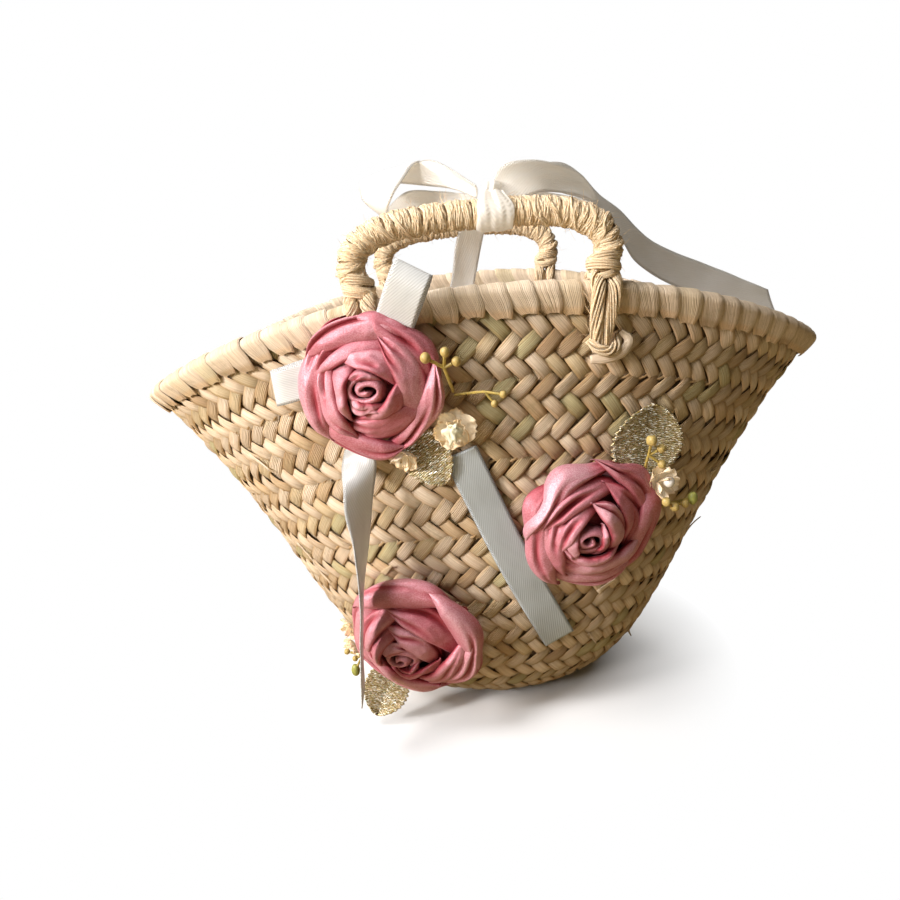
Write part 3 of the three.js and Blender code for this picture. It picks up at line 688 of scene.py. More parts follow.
# ---- The woven wall ----
def weave_row(rng, piles, row, inside):
    """One row of strips that all lean the same way, each arching over its two crossings."""
    t = 1 - (row + 0.5) / WEAVE_ROWS
    around, angle_at = ring_spacing(t)
    course = row // COURSE
    course_t = 1 - (course * COURSE + 1.5) / WEAVE_ROWS
    ring = around if t < 0 else ring_spacing(max(course_t, -0.1))[0]
    count = max(8, round(ring / CROSSING))
    squeeze = around / count / CROSSING
    leans_right = row % 2 == 0
    steps = 5 if inside else 7
    a = np.linspace(-1, 1, steps)[None, :, None]
    b = np.array([-1, -0.93, -0.45, 0, 0.45, 0.93, 1])[None, None, :]
    shape = (count, steps, b.shape[2])
    width = STRIP_WIDTH / 2 * rng.uniform(0.92, 1.1, (count, 1, 1))
    half = (STRIP_WIDTH + 0.8) * rng.uniform(0.95, 1.06, (count, 1, 1))
    taper = 1 - (0.16 if leans_right else 0.08) * np.abs(a) ** 3
    turn = math.radians(45 if leans_right else -45) + rng.normal(0, math.radians(2.6), (count, 1, 1))
    bend = rng.normal(0, 0.16, (count, 1, 1)) * (1 - a**2)
    along = a * half
    across = b * width * taper + bend
    x, y = turned(along, across, turn)
    x = x * squeeze + rng.normal(0, 0.14, (count, 1, 1))
    y = y + rng.normal(0, 0.12, (count, 1, 1))
    arch = np.cos(a * math.pi / 2) ** 0.55
    belly = (0.26 if leans_right else 0.12) * rng.uniform(0.3, 1.6, (count, 1, 1))
    tip_over = rng.normal(0, 0.17, (count, 1, 1)) * b
    rise = -1.15 + 1.25 * arch + belly * (1 - b**2) * arch + tip_over * arch
    rise = rise - 0.3 * (np.abs(b) > 0.99) + rng.normal(0, 0.07, (count, 1, 1))
    centres = (np.arange(count) + 0.5 * (row % 2) + 0.31 * course) / count
    u = angle_at((centres[:, None, None] + x / around) % 1.0)
    height = t + y / wall_length(u)
    n = -WALL + 0.2 - rise if inside else rise
    points = skin(u, np.broadcast_to(height, shape), np.broadcast_to(n, shape))
    low = rng.uniform(0, 90, (count, 1, 1))
    grain = xyz(across + low, along, low * 3.1)
    edge = 1 - np.array([0.2, 0.3, 0.42]) * (np.abs(b) > 0.92)[..., None]
    colour = leaf_tints(rng, count, RIBBED_SHARES if leans_right else SMOOTH_SHARES)
    # Painted shade and highlight: each strip is darkened to 0.62 towards its ends, where it dips under its
    # neighbours, and kept full in its raised middle. The darker brown along its edges is the leaf's own
    # colour.
    tint = colour[:, None, None, :] * (0.62 + 0.38 * arch)[..., None] * edge
    tint = np.broadcast_to(tint, (*shape, 3))
    faces = grid_faces(steps, b.shape[2], count)
    piles[row % 2].add(points, [faces[:, ::-1] if inside else faces], grain, tint)


def weave(rng, inside):
    """The strips of one face of the wall: those that lean right, then those that lean left."""
    piles = (Pile(), Pile())
    for row in range(WEAVE_ROWS + FLOOR_ROWS):
        weave_row(rng, piles, row, inside)
    return piles


def backing():
    """The leaf layers between the two faces, as one closed shell, coloured dark brown: painted shade for
    the gaps between the strips.
    """
    u = np.linspace(-math.pi, math.pi, 160, endpoint=False)[None, :]
    up = np.linspace(-0.15, 1.01, 50)
    outer = skin(u, up[:, None], np.full((len(up), 1), -1.12))
    inner = skin(u, up[::-1, None], np.full((len(up), 1), -1.4))
    sheet = np.concatenate([outer, inner])
    faces = grid_faces(len(sheet), u.size, wrap_rows=True, wrap_cols=True)[:, ::-1]
    return Pile().add(sheet, [faces])


def loose_slivers(rng):
    """Frayed splinters of leaf that lift off the weave at one end."""
    pile = Pile()
    w = np.linspace(-1, 1, 4)[None, :]
    a = np.linspace(0, 1, 7)[:, None]
    for shade in leaf_tints(rng, LOOSE_SLIVERS):
        u = rng.uniform(-math.pi, math.pi)
        t = rng.uniform(0.08, 0.93)
        length, width = rng.uniform(4, 10), rng.uniform(0.35, 1.1)
        turn = math.radians(rng.choice([45, -45]) + rng.normal(0, 9))
        lift = rng.uniform(0.5, 2.2)
        x, y = turned(a * length, w * width * (1 - 0.7 * a), turn)
        around = ring_spacing(t)[0]
        n = 0.25 + lift * a**2 + 0.1 * w**2
        sheet = skin(u + 2 * math.pi * x / around, t + y / wall_length(np.array(u)), n)
        grain = xyz(w * width, a * length, u * 9.0)
        slab(pile, sheet, 0.18, grain, shade)
    return pile


def course_stitches(rng):
    """Twisted cord that shows in the gaps where two plaited courses are sewn edge to edge."""
    pile = Pile()
    for row in range(COURSE, WEAVE_ROWS, COURSE):
        t = 1 - row / WEAVE_ROWS
        around, angle_at = ring_spacing(t)
        count = round(around / CROSSING)
        w = (np.arange(count) + 0.25 + rng.uniform(-0.06, 0.06, count)) / count
        s = np.linspace(-1, 1, 7)
        u = angle_at((w[:, None] + 1.5 * s[None, :] / around) % 1)
        height = t + (0.9 * s[None, :]) / wall_length(u)
        paths = skin(u, height, -0.5 - 0.8 * s[None, :] ** 2 + 0 * u)
        tubes(pile, paths, 0.42, np.array([0.3, 0.2, 1.0]), 6, (0.55, 0.45, 0.32), twist=2.5)
    return pile


# ---- The folded rim ----
def rim(rng):
    """Leaf scales folded over the wall's edge, each lying over the tucked side of the next."""
    pile = Pile()
    around, angle_at = ring_spacing(1.0)
    pitch = around / RIM_SCALES
    legs = 0.42
    v = np.r_[np.linspace(0, legs, 6)[:-1], np.linspace(legs, 1 - legs, 9), np.linspace(1 - legs, 1, 6)[1:]]
    b = np.array([-1, -0.9, -0.5, 0, 0.5, 0.85, 1])
    bulge = WALL / 2 + 1.75
    for k, shade in enumerate(leaf_tints(rng, RIM_SCALES)):
        drop = RIM_DEPTH + rng.uniform(-0.7, 0.9)
        turn = np.clip((v - legs) / (1 - 2 * legs), 0, 1) * math.pi
        n = bulge * np.cos(turn) - WALL / 2
        down = np.where(v < legs, (legs - v) / legs, 0) + np.where(v > 1 - legs, (v - 1 + legs) / legs, 0)
        z = 2.1 * np.sin(turn) - down * drop
        n = n + np.where(v < 0.5, -0.75, 0.75) * down**2
        lean = 3.2 * (1 - 2 * v) * rng.uniform(0.75, 1.2)
        narrow = 1 - 0.5 * down**2.4
        wide = pitch * 0.6 * rng.uniform(0.94, 1.1)
        x = b[None, :] * wide * narrow[:, None] + lean[:, None]
        over = 0.34 * b[None, :] + 0.14 * (1 - b[None, :] ** 2)
        over = over - 0.4 * (b[None, :] > 0.99) + rng.normal(0, 0.05)
        centre = (k + 0.5 + rng.normal(0, 0.05)) / RIM_SCALES
        u = angle_at((centre + x / around) % 1)
        at, _, rise, out = wall_axes(u, np.ones_like(u))
        lateral = np.cos(turn)[:, None] * over
        upward = np.sin(turn)[:, None] * over
        edge_dip = 0.5 * b[None, :] ** 4 * (down[:, None] > 0.7)
        points = at + out * (n[:, None] + lateral)[..., None]
        points = points + rise * (z[:, None] + upward - edge_dip)[..., None]
        grain = xyz(b[None, :] * wide + 7.7 * k, v[:, None] * 20, k * 1.7)
        tint = (0.5 * shade + 0.5 * LEAF_SHADES[0]) * 1.04 * np.ones((len(v), len(b), 3))
        tint[:2] *= rng.choice([1.0, 1.0, 0.72]) * np.array([1.05, 0.93, 0.8])
        faces = grid_faces(len(v), len(b))[:, ::-1]
        pile.add(points, [faces], grain, tint)
    return pile


# ---- Handles and lashings ----
def foot_at(around):
    """Where the rope starts: just over the rim, in the middle of the wall's thickness."""
    at, _, rise, out = axes_at(around)
    return at - out * WALL / 2 + rise * FOOT_RISE


def handle_path(side):
    """The middle line of a handle's rope, foot to foot, from -X to +X."""
    foot = foot_at(side * 90 + HANDLE_ANGLE)
    x = abs(foot[0])
    half = [(x, 0), (x + 1.4, 4), (x - 0.6, 9.4), (x - 8, 13.4), (x - 19, ARCH_HEIGHT - 0.3)]
    left = [(-px, foot[1], foot[2] + h) for px, h in half]
    right = [(px, foot[1], foot[2] + h) for px, h in half[::-1]]
    return evenly(through([*left, (0, foot[1], foot[2] + ARCH_HEIGHT), *right], 400), 400)


def hairs(rng, pile, roots, outward, count, reach=(2, 7)):
    """Stray fibres that spring from the wrapping."""
    pick = rng.integers(0, len(roots), count)
    base, out = roots[pick], outward[pick]
    wander = unit(rng.normal(size=(count, 3)) + 0.35 * out)
    length = rng.uniform(*reach, (count, 1, 1))
    curl = unit(rng.normal(size=(count, 3)))[:, None, :]
    s = np.linspace(0, 1, 7)[None, :, None]
    paths = base[:, None, :] + wander[:, None, :] * s * length + curl * 0.35 * length * s**2
    radius = rng.uniform(0.035, 0.075, (count, 1)) * np.linspace(1, 0.4, 7)[None, :]
    tubes(pile, paths, radius, np.array([0.3, 0.5, 0.8]), 4, (1.15, 1.1, 1.0))


def sisal_coil(rng, pile, path, radius, pitch=2.5, strands=6, slope=0.0):
    """Bundled sisal wound round a path: the strands of each turn lie side by side in a rounded band."""
    length = length_of(path)
    turns = length / pitch
    steps = int(turns * 18)
    s = np.linspace(0, 1, steps)
    centre = np.stack([np.interp(s, np.linspace(0, 1, len(path)), path[:, i]) for i in range(3)], 1)
    along = unit(np.gradient(centre, axis=0))
    level = unit(np.cross(along, np.array([0.02, 1.0, 0.01])))
    cross = np.cross(along, level)
    wander = smooth_noise(rng, 1, 9, 2.0, 9.0)(s[:, None] * 12)
    mood = smooth_noise(rng, 1, 9, 2.0, 9.0)(s[:, None] * 9)
    for strand in range(strands):
        own = smooth_noise(rng, 1, 9, 5.0, 40.0)
        place = (strand + 0.5) / strands * 2 - 1
        phase = 2 * math.pi * s * turns + 0.35 * wander
        lift = radius - 0.4 + 0.42 * (1 - place**2) + 0.1 * own(s[:, None] * 30)
        lift = lift + 0.08 * own(s[:, None] * 90 + 4)
        ring = level * np.cos(phase)[:, None] + cross * np.sin(phase)[:, None]
        lean = slope * (1 + 0.5 * mood) * np.sin(phase + 0.7)
        spread = place * STRAND_THICK * strands * 0.62 + 0.14 * own(s[:, None] * 60)
        line = centre + ring * lift[:, None] + along * (lean + spread)[:, None]
        shade = rng.uniform(0.84, 1.12)
        width = STRAND_THICK + 0.06 * own(s[:, None] * 45)
        tubes(pile, line, width[None, :], -ring[None], 6, (shade,) * 3, twist=3.0)
    return centre, level, cross


def handle_wrap(rng, side):
    """A dark sleeve over the rope, the coil along it and a steeper coil over each leg."""
    path = handle_path(side)
    pile = Pile()
    sleeve = tubes(Pile(), path[6:-6], ROPE_R - 0.75, np.array([0.0, 1.0, 0.0]), 16)
    pile.add(sleeve.points[0], sleeve.faces, sleeve.grain[0], (0.45, 0.38, 0.3))
    centre, level, cross = sisal_coil(rng, pile, path, ROPE_R - 0.1, pitch=2.2, slope=0.6)
    for leg in (path[:130], path[-130:]):
        sisal_coil(rng, pile, leg, ROPE_R + 0.1, pitch=4.6, strands=4, slope=-1.7)
    phi = rng.uniform(0, 2 * math.pi, len(centre))
    outward = level * np.cos(phi)[:, None] + cross * np.sin(phi)[:, None]
    hairs(rng, pile, centre + outward * (ROPE_R - 0.4), outward, 190, (1.5, 5))
    return pile


def yarn(rng, pile, keys, width, count, turns, spread, facing):
    """A hank of strands that twists along a path; spread sets how far it opens at each end."""
    stations = 34
    path = through(keys, stations)
    along = unit(np.gradient(path, axis=0))
    side = unit(np.cross(along, facing))
    up = np.cross(side, along)
    s = np.linspace(0, 1, stations)
    fan = np.interp(s, [0, 0.35, 0.75, 1], [spread[0], 1, 0.9, spread[1]])
    own = smooth_noise(rng, 2, 8, 1.0, 6.0)
    lines = []
    for k in range(count):
        outside = k % 4 > 0
        angle = 2 * math.pi * (k / count * 3 + turns * s) + rng.normal(0, 0.2)
        field = own(np.stack([s * 4, np.full_like(s, k * 3.0)], 1))
        reach = width / 2 * (0.95 if outside else 0.5) * fan + 0.18 * field
        drift, lift = reach * np.cos(angle), reach * np.sin(angle) * 0.62
        lines.append(path + side * drift[:, None] + up * lift[:, None])
    shade = rng.uniform(0.82, 1.15, (count, 1)) * np.ones((1, 3))
    radius = 0.25 * rng.uniform(0.7, 1.2, (count, 1)) * np.ones((1, stations))
    tubes(pile, np.array(lines), radius, np.array([0.2, 0.9, 0.3]), 6, shade, twist=2.5)


def lashing(rng, around, reach, gathered):
    """Sisal that ties a handle's foot over the rim: three collars, and a hank each side, outside and in."""
    at, side, rise, out = axes_at(around)
    place = lambda p: at + side * p[0] + rise * p[1] + out * p[2]
    foot = foot_at(around)
    pile = Pile()
    for level, radius in ((-1.7, 4.0), (-0.3, 4.35), (1.2, 4.15)):
        ring = np.linspace(0, 2 * math.pi, 40)
        tilt = rng.uniform(0, 6)
        for extra in range(4):
            wave = (0.16 + 0.05 * extra) * np.sin(ring + tilt)
            loop = np.stack([np.cos(ring), np.sin(ring), wave], 1)
            line = foot + loop * (radius - 0.12 * abs(extra - 1.5)) + UP * (level + 0.5 * extra - 0.7)
            tubes(pile, line, 0.34, np.array([0.1, 0.2, 1.0]), 6, (rng.uniform(0.85, 1.12),) * 3, twist=3)
    face = 2.7
    inside = -WALL - face + 0.2
    for lean in (-1, 1):
        top = 1.9 * lean
        end = (0.9 if gathered else 3.0) * lean
        keys = [place(p) for p in (
            (top * 0.8, 5.6, -1.0), (top * 1.1, 3.9, 1.0), (top * 1.2, 1.0, face + 0.2),
            (top * (0.9 if gathered else 1.4), -0.5 * reach, face + 0.2), (end, -reach, face - 0.2))]
        yarn(rng, pile, keys, 3.5, 28, 0.9 * lean, (0.8, 0.4 if gathered else 1.2), -out)
        keys = [place(p) for p in (
            (top * 0.8, 5.6, -1.0), (top, 3.9, -WALL - 0.4), (top, 1.0, inside), (top, -4, inside - 0.1),
            (end, -9, inside + 0.3))]
        yarn(rng, pile, keys, 3.2, 13, 0.6 * lean, (0.8, 0.7), out)
    if gathered:
        knot = [place(p) for p in ((-3.2, -reach + 3.2, face - 0.4), (-1, -reach + 1.2, face + 1.2),
                                   (2.2, -reach + 0.6, face + 1.4), (4.4, -reach + 2.0, face + 0.4),
                                   (5.4, -reach + 4.4, face - 1.6))]
        yarn(rng, pile, knot, 2.6, 18, 0.7, (0.5, 0.5), -out)
    roots = np.array([place((rng.uniform(-4, 4), rng.uniform(-reach, 5), face)) for _ in range(60)])
    hairs(rng, pile, roots, np.tile(out, (60, 1)), 46, (2, 5))
    return pile


def tied_leaf(around, reach):
    """A strip of palm leaf caught in a lashing's knot and bent back up."""
    at, side, rise, out = axes_at(around)
    keys = ((-1.8, -reach - 2.2, 1.0), (2.6, -reach - 1.3, 2.4), (6.6, -reach + 0.6, 2.6),
            (8.0, -reach + 3.4, 1.9), (5.6, -reach + 5.6, 1.2))
    path = through([at + side * x + rise * y + out * z for x, y, z in keys], 40)
    across = unit(np.cross(out, np.gradient(path, axis=0)))
    w = np.linspace(-1, 1, 7)[None, :, None]
    width = np.interp(np.linspace(0, 1, 40), [0, 0.15, 0.8, 1], [1.0, 1.5, 1.3, 0.7])[:, None, None]
    sheet = path[:, None] + across[:, None] * w * width + out * 0.4 * (1 - w**2)
    far = np.linspace(0, 14, 40)[:, None]
    grain = xyz(w[..., 0] * 1.5, far, 4.0)
    return slab(Pile(), sheet + out * 0.5, 0.22, grain, LEAF_SHADES[0])


# ---- Ribbons ----
def ribbon_sheet(rng, one_edge, other_edge, count, ripple, camber=0.0):
    """A band of satin stretched between two edge curves, with its own across and along coordinates."""
    a, b = through(one_edge, count), through(other_edge, count)
    w = np.linspace(0, 1, RIBBON_COLUMNS)[None, :, None]
    sheet = a[:, None] * (1 - w) + b[:, None] * w
    middle = (a + b) / 2
    gone = gone_along(middle)
    normal = unit(np.cross(np.gradient(sheet, axis=0), np.gradient(sheet, axis=1)))
    bow = camber * (1 - (2 * w - 1) ** 2)
    across = (w[..., 0] - 0.5) * RIBBON_WIDTH + 0 * gone[:, None]
    along = gone[:, None] + 0 * across
    field = smooth_noise(rng, 2, 9, 0.15, 0.6)
    bow = bow + ripple * field(xyz(across * 0.8, along))[..., None]
    grain = xyz(across, along, 0 * across)
    return sheet + normal * bow, grain


def satin_band(rng, keys, tint=(1, 1, 1), **shape):
    sheet, grain = ribbon_sheet(rng, [a for a, _ in keys], [b for _, b in keys], **shape)
    return slab(Pile(), sheet, RIBBON_THICK, grain, tint)


BOW_POINT = foot_at(-90 + HANDLE_ANGLE) * np.array([0, 1, 1]) + np.array([BOW_X, 0, ARCH_HEIGHT])

# Each bow piece is given by its two edges, from the middle of the rope under the knot.
LEFT_LOOP = (
    ((-4, 4, 4), (-4, 3, 7)),
    ((-10, 8, 7), (-10, 7, 12)),
    ((-18, 12, 9), (-15, 11, 15)),
    ((-27, 17, 11), (-18, 13, 15)),
    ((-33, 15, 12), (-20, 7, 13)),
    ((-34, 9, 9), (-22, 3, 10)),
    ((-33, 6, 6), (-25, 1, 6)),
    ((-30, 7, 3), (-27, 3, 2)),
    ((-28, 15, 4), (-25, 10, 0)),
    ((-22, 17, 8), (-20, 14, 1)),
    ((-13, 12, 7), (-13, 11, 3)),
    ((-4, 6, 5), (-4, 6, 4)),
)
RIGHT_LOOP = (
    ((0, 2, 7), (1, 2, 4)),
    ((3, 1, 11), (7, 1, 3)),
    ((10, 3, 12), (12, 3, 4)),
    ((17, 7, 11), (16, 6, 4)),
    ((24, 14, 9), (23, 11, 3)),
    ((30, 22, 4), (29, 19, 1)),
    ((32, 27, 1), (29, 26, -1)),
    ((25, 23, 3), (23, 21, 0)),
    ((12, 12, 5), (12, 13, 2)),
    ((4, 6, 5), (4, 7, 4)),
)
RIGHT_TAIL = (
    ((2, 6, 7), (3, 7, 5)),
    ((11, 12, 11), (11, 12, 6)),
    ((21, 18, 12), (21, 17, 4)),
    ((31, 26, 5), (31, 23, 0)),
    ((39, 32, -1), (38, 29, -8)),
    ((52, 42, -11), (47, 38, -18)),
    ((72, 50, -20), (67, 47, -29)),
    ((94, 54, -30), (97, 52, -40)),
)
BACK_TAIL = (
    ((0, 7, 3), (-4, 7, 3)),
    ((-2, 13, -4), (-9, 13, -4)),
    ((-5, 22, -17), (-12, 22, -17)),
    ((-8, 25, -30), (-16, 25, -30)),
    ((-9, 26, -41), (-18, 26, -40)),
)


def bow_wrap():
    """Gathered satin round the rope: soft lengthwise pleats that draw together at the top."""
    phi = circle(72)[:, None]
    w = np.linspace(-1, 1, 41)[None, :]
    drawn = np.clip(np.cos(phi), 0, 1) ** 3
    wide = 4.6 - 2.0 * drawn
    pleat = (0.1 + 0.2 * drawn) * np.sin(w * 7 + 0.8 * np.sin(phi * 2)) + 0.05 * np.sin(w * 15 + 2 * phi)
    radius = ROPE_R + 1.05 + pleat - 0.5 * np.abs(w) ** 5 + 0.9 * drawn
    x = w * wide + 0.25 * np.sin(phi * 3)
    sheet = xyz(x + 0 * phi, radius * np.sin(phi), radius * np.cos(phi)) + BOW_POINT
    inner = xyz(x + 0 * phi, (radius - 0.5) * np.sin(phi), (radius - 0.5) * np.cos(phi))
    both = np.concatenate([sheet, (inner + BOW_POINT)[:, ::-1]], 1)
    grain = xyz(x * 0.3, phi * radius, 0 * x)
    grain = np.concatenate([grain, grain[:, ::-1]], 1)
    faces = grid_faces(*both.shape[:2], wrap_rows=True, wrap_cols=True)
    return Pile().add(both, [faces[:, ::-1]], grain)


def bow_knot():
    """The narrow fold that holds the loops, its pleats running over from front to back."""
    phi = circle(48)[None, :]
    h = np.linspace(-1, 1, 25)[:, None]
    round_off = np.sqrt(np.maximum(1 - np.abs(h) ** 3, 0.002))
    pleats = 1 + 0.07 * np.sin(8 * h + 0.6 * np.sin(2 * phi))
    x = h * 2.5 + 0.3 * np.sin(phi)
    y = 3.1 * round_off * np.cos(phi) * pleats
    z = 2.2 * round_off * np.sin(phi) * pleats
    points = xyz(x, y, z) + BOW_POINT + np.array([-0.4, 1.4, ROPE_R + 2.0])
    grain = xyz(x * 0.3, phi * 3 + 0 * x, z)
    return Pile().add(points, swept(h.size, phi.size), grain)


def streamer_stations(number, keys):
    """Edges of a hanging ribbon from its middle points and width directions, in a cluster's axes."""
    place = in_spot(number)
    edges = []
    for middle, across, wide in keys:
        half = unit(np.array(across, float)) * RIBBON_WIDTH / 2 * wide
        edges.append((place(np.array(middle) - half), place(np.array(middle) + half)))
    return edges


# ---- Rolled satin roses ----
CREASES = 2
# Each ring of petals: how many, outer and lip radius as shares of the rose's, height of its middle, lean
# in degrees, half thickness, and how far the ring follows the bud off the middle.
PETAL_RINGS = (
    (5, 1.0, 0.57, 2.0, 27, 2.7, 0.0),
    (4, 0.8, 0.38, 4.6, 40, 1.8, 0.3),
    (3, 0.56, 0.2, 6.7, 50, 1.45, 0.75),
    (2, 0.33, 0.12, 7.9, 62, 1.1, 1.0),
)

# The dome under the petals: share of the rose's radius, and height.
DOME = ((0, 3.4), (0.7, 3.4), (0.66, 5.2), (0.45, 7.0), (0.2, 8.6), (0, 9))


def creases(rng, a, c):
    """Depth of a few sharp folds that run along a petal and fade out."""
    depth = 0 * a * c
    for _ in range(CREASES):
        line = rng.uniform(-0.75, 0.7) + rng.uniform(-1.3, 1.3) * (a - 0.5)
        middle, length = rng.uniform(0.1, 0.9), rng.uniform(0.12, 0.26)
        fade = np.exp(-(((a - middle) / length) ** 2))
        away = (c - line) / 0.17
        fold = np.exp(-(away**2)) - 0.5 * np.exp(-((away - 2) ** 2))
        depth = depth + rng.uniform(0.6, 1.3) * fade * fold
    return depth


def petal(rng, pile, place, middle, heading, ring, radius):
    """A plump folded band. Its lip is nearly straight and crosses the ring like a blade of an iris: one end
    lies under the petal before it and the other over the petal after it."""
    _, outer, lip, height, lean, plump, follow = ring
    stations, sides = 60, 48
    a = np.linspace(0, 1, stations)[:, None]
    phi = circle(sides)[None, :]
    nearest = radius * lip * rng.uniform(0.9, 1.12)
    outer = radius * outer * rng.uniform(0.96, 1.04)
    reach = math.acos(nearest / outer) * 1.12
    bearing = (2 * a - 1) * reach
    lip = nearest / np.cos(np.clip(bearing * 0.95, -1.35, 1.35)) ** 0.85
    lip = np.minimum(lip, outer - 1.3)
    outer = outer * (1.02 - 0.15 * (1 - a) ** 3 - 0.12 * a**4)
    outer = outer + (0.5 if follow else 0.95) * smooth_noise(rng, 1, 6, 7, 17)(a[..., None])
    half = (outer - lip) / 2
    ends = np.interp(a, [0, 0.12, 0.86, 1], [0.5, 1, 1, 0.35])
    thick = plump * rng.uniform(0.9, 1.1) * (0.62 + 0.38 * np.sin(math.pi * a)) * ends
    tilt = math.radians(lean + rng.normal(0, 3)) * (0.7 + 0.3 * np.sin(math.pi * a))
    c, s = np.cos(phi), np.sin(phi)
    across = c * (0.9 + half * 0.42)
    line = smooth_noise(rng, 2, 8, 0.25, 0.7)
    pleat = line(xyz(across * 0.9, a * 2.2 + 0 * c))
    pleat = 1 - 1.6 * np.abs(np.sin(1.1 * pleat))
    gather = np.interp(a, [0, 0.3, 0.6, 1], [1.0, 0.5, 0.5, 1.2])
    soft = smooth_noise(rng, 2, 7, 0.4, 1.0)(xyz(across, a * 4.5 + 0 * c))
    y = thick * np.sign(s) * np.abs(s) ** 0.9
    sunk = creases(rng, a, c)
    y = y + np.maximum(s, 0) * ends * (0.3 * gather * pleat + 0.6 * soft - 1.2 * sunk)
    r = (outer + lip) / 2 + half * c * np.cos(tilt) + y * np.sin(tilt)
    z = ROSE_FLOOR + height - half * c * np.sin(tilt) + y * np.cos(tilt)
    z = z + np.interp(a, [0, 0.4, 0.8, 1], [-2.3, 0.1, 1.2, -0.4]) + rng.normal(0, 0.25)
    theta = heading + bearing
    points = xyz(r * np.cos(theta), r * np.sin(theta), np.maximum(z, ROSE_FLOOR - 0.6))
    points[..., :2] += middle
    grain = xyz(across * 1.6, y * 1.5, bearing * radius * 0.7 + heading * 9)
    # Painted shade and light: the tint darkens the inner side of each lip, the edge tucked under the ring
    # outside, the petal's first end and the bottoms of its creases, and lightens its raised folds a little.
    # It also turns deeper red as it darkens, as painted light bounced between the red folds.
    inside = np.clip(-c, 0, 1) * np.clip(0.45 - s, 0, 1)
    tucked = np.clip((c - 0.45) / 0.55, 0, 1) * (follow > 0)
    shade = (1 - 0.72 * np.minimum(inside, 1)) * (1 - 0.68 * tucked) * np.interp(a, [0, 0.3], [0.35, 1])
    shade = shade * (1 - 0.6 * np.clip(sunk, 0, 1)) * (1 + 0.12 * np.clip(soft, -1, 1))
    tint = xyz(shade, shade**2.8, shade**2.6)
    pile.add(place(points.reshape(-1, 3)), swept(stations, sides), grain, tint)


def rolled_rose(rng, number, bud, start):
    """Rings of folded satin petals round a scroll, over a dome of the same satin."""
    radius = ROSE_RADIUS[number]
    pile = Pile()
    place = in_spot(number)
    for level, ring in enumerate(PETAL_RINGS):
        count, follow = ring[0], ring[-1]
        pitch = 2 * math.pi / count
        for k in range(count):
            heading = start + 1.3 * level + pitch * (k + rng.uniform(-0.14, 0.14))
            petal(rng, pile, place, np.array(bud) * follow, heading, ring, radius)
    rose_bud(rng, pile, place, np.array([*bud, 0.0]), start)
    dome = [(share * radius, z) for share, z in DOME]
    shift = lambda points: place(points + np.array([*bud, 0.0]) * (points[:, 2:] - 4) / 8)
    # Painted shade: the dome under the petals is tinted dark red, for the hollows between them.
    lathe(pile, dome, shift, 40, (0.35, 0.2, 0.2))
    return pile


def rose_bud(rng, pile, place, centre, start):
    """The scroll at a rose's heart: one upright band rolled into a loose spiral with a rounded top."""
    turn = np.linspace(0, 1.6, 130)
    theta = start + 1.2 + 2 * math.pi * turn
    ring = np.interp(turn, [0, 0.5, 1.1, 1.6], [4.9, 3.9, 2.2, 0.6])
    top = ROSE_FLOOR + np.interp(turn, [0, 0.5, 1.6], [8.4, 9.7, 9.9])
    radial = xyz(np.cos(theta), np.sin(theta), 0 * theta)
    path = radial * ring[:, None] * np.array([1.2, 0.85, 1]) + centre
    path[:, 2] = top - 2.2
    sides = 20
    phi = circle(sides)[None, :, None]
    crumple = 1 + 0.15 * smooth_noise(rng, 2, 8, 1, 4)(xyz(turn * 6, turn))
    lean = np.interp(turn, [0, 1.6], [0.5, 0.1])[:, None]
    upright = UP * np.cos(lean) - radial * np.sin(lean)
    flat = np.cross(unit(np.gradient(path, axis=0)), upright)
    thick = 0.95 * crumple[:, None, None]
    points = path[:, None] + 2.3 * np.cos(phi) * upright[:, None] + thick * np.sin(phi) * flat[:, None]
    grain = xyz(np.cos(phi[..., 0]) * 3, np.sin(phi[..., 0]), turn[:, None] * 18)
    # Painted shade: the scroll's band darkens towards its lower edge.
    shade = np.interp(np.cos(phi[..., 0]), [-0.2, 0.7], [0.35, 1.0]) * np.ones((len(turn), 1))
    faces = swept(len(turn), sides, flip=True)
    pile.add(place(points.reshape(-1, 3)), faces, grain, shade[..., None] * np.ones(3))


# ---- Leaves, blossoms, berries ----
def gold_leaf(rng, number, length, width, at, turn, lift=0.0):
    """A serrated leaf of metallic gauze, veined, cupped and a little curled."""
    rows, cols = 70, 17
    t = np.linspace(0, 1, rows)[:, None]
    w = np.linspace(-1, 1, cols)[None, :]
    outline = width / 2 * np.sin(math.pi * t**1.3) ** 0.62
    teeth = 1 - 0.13 * np.abs((t * LEAF_TEETH) % 1 - 0.5) * 2 * (t > 0.03) * (t < 0.985)
    y = w * outline * np.where(np.abs(w) > 0.9, teeth, 1) + 0.02 * w
    x = t * length + 0 * w - 0.6 * np.abs(w) * outline / width
    ribs = 0.16 * np.abs(np.sin((t * 8 + np.abs(w) * 1.5) * math.pi)) * (1 - np.abs(w) * 0.4)
    field = smooth_noise(rng, 2, 8, 0.15, 0.45)(xyz(x, y))
    z = 0.3 - 0.45 * (1 - np.abs(w)) ** 6 + ribs + 0.35 * field + LEAF_CURL * w**2 * t - 0.9 * t**3
    x, z = turned(x, z, math.radians(lift))
    flat = xyz(*turned(x, y, math.radians(turn)), z)
    sheet = in_spot(number)(flat + np.array(at))
    grain = xyz(t * length + 0 * w, y, 0 * y)
    # Painted shade: the leaf is darker along its cupped middle and lighter towards its raised edges.
    shade = 0.85 + 0.25 * np.abs(w)[..., None] * np.ones((rows, 1, 3))
    return slab(Pile(), sheet, 0.4, grain, shade)


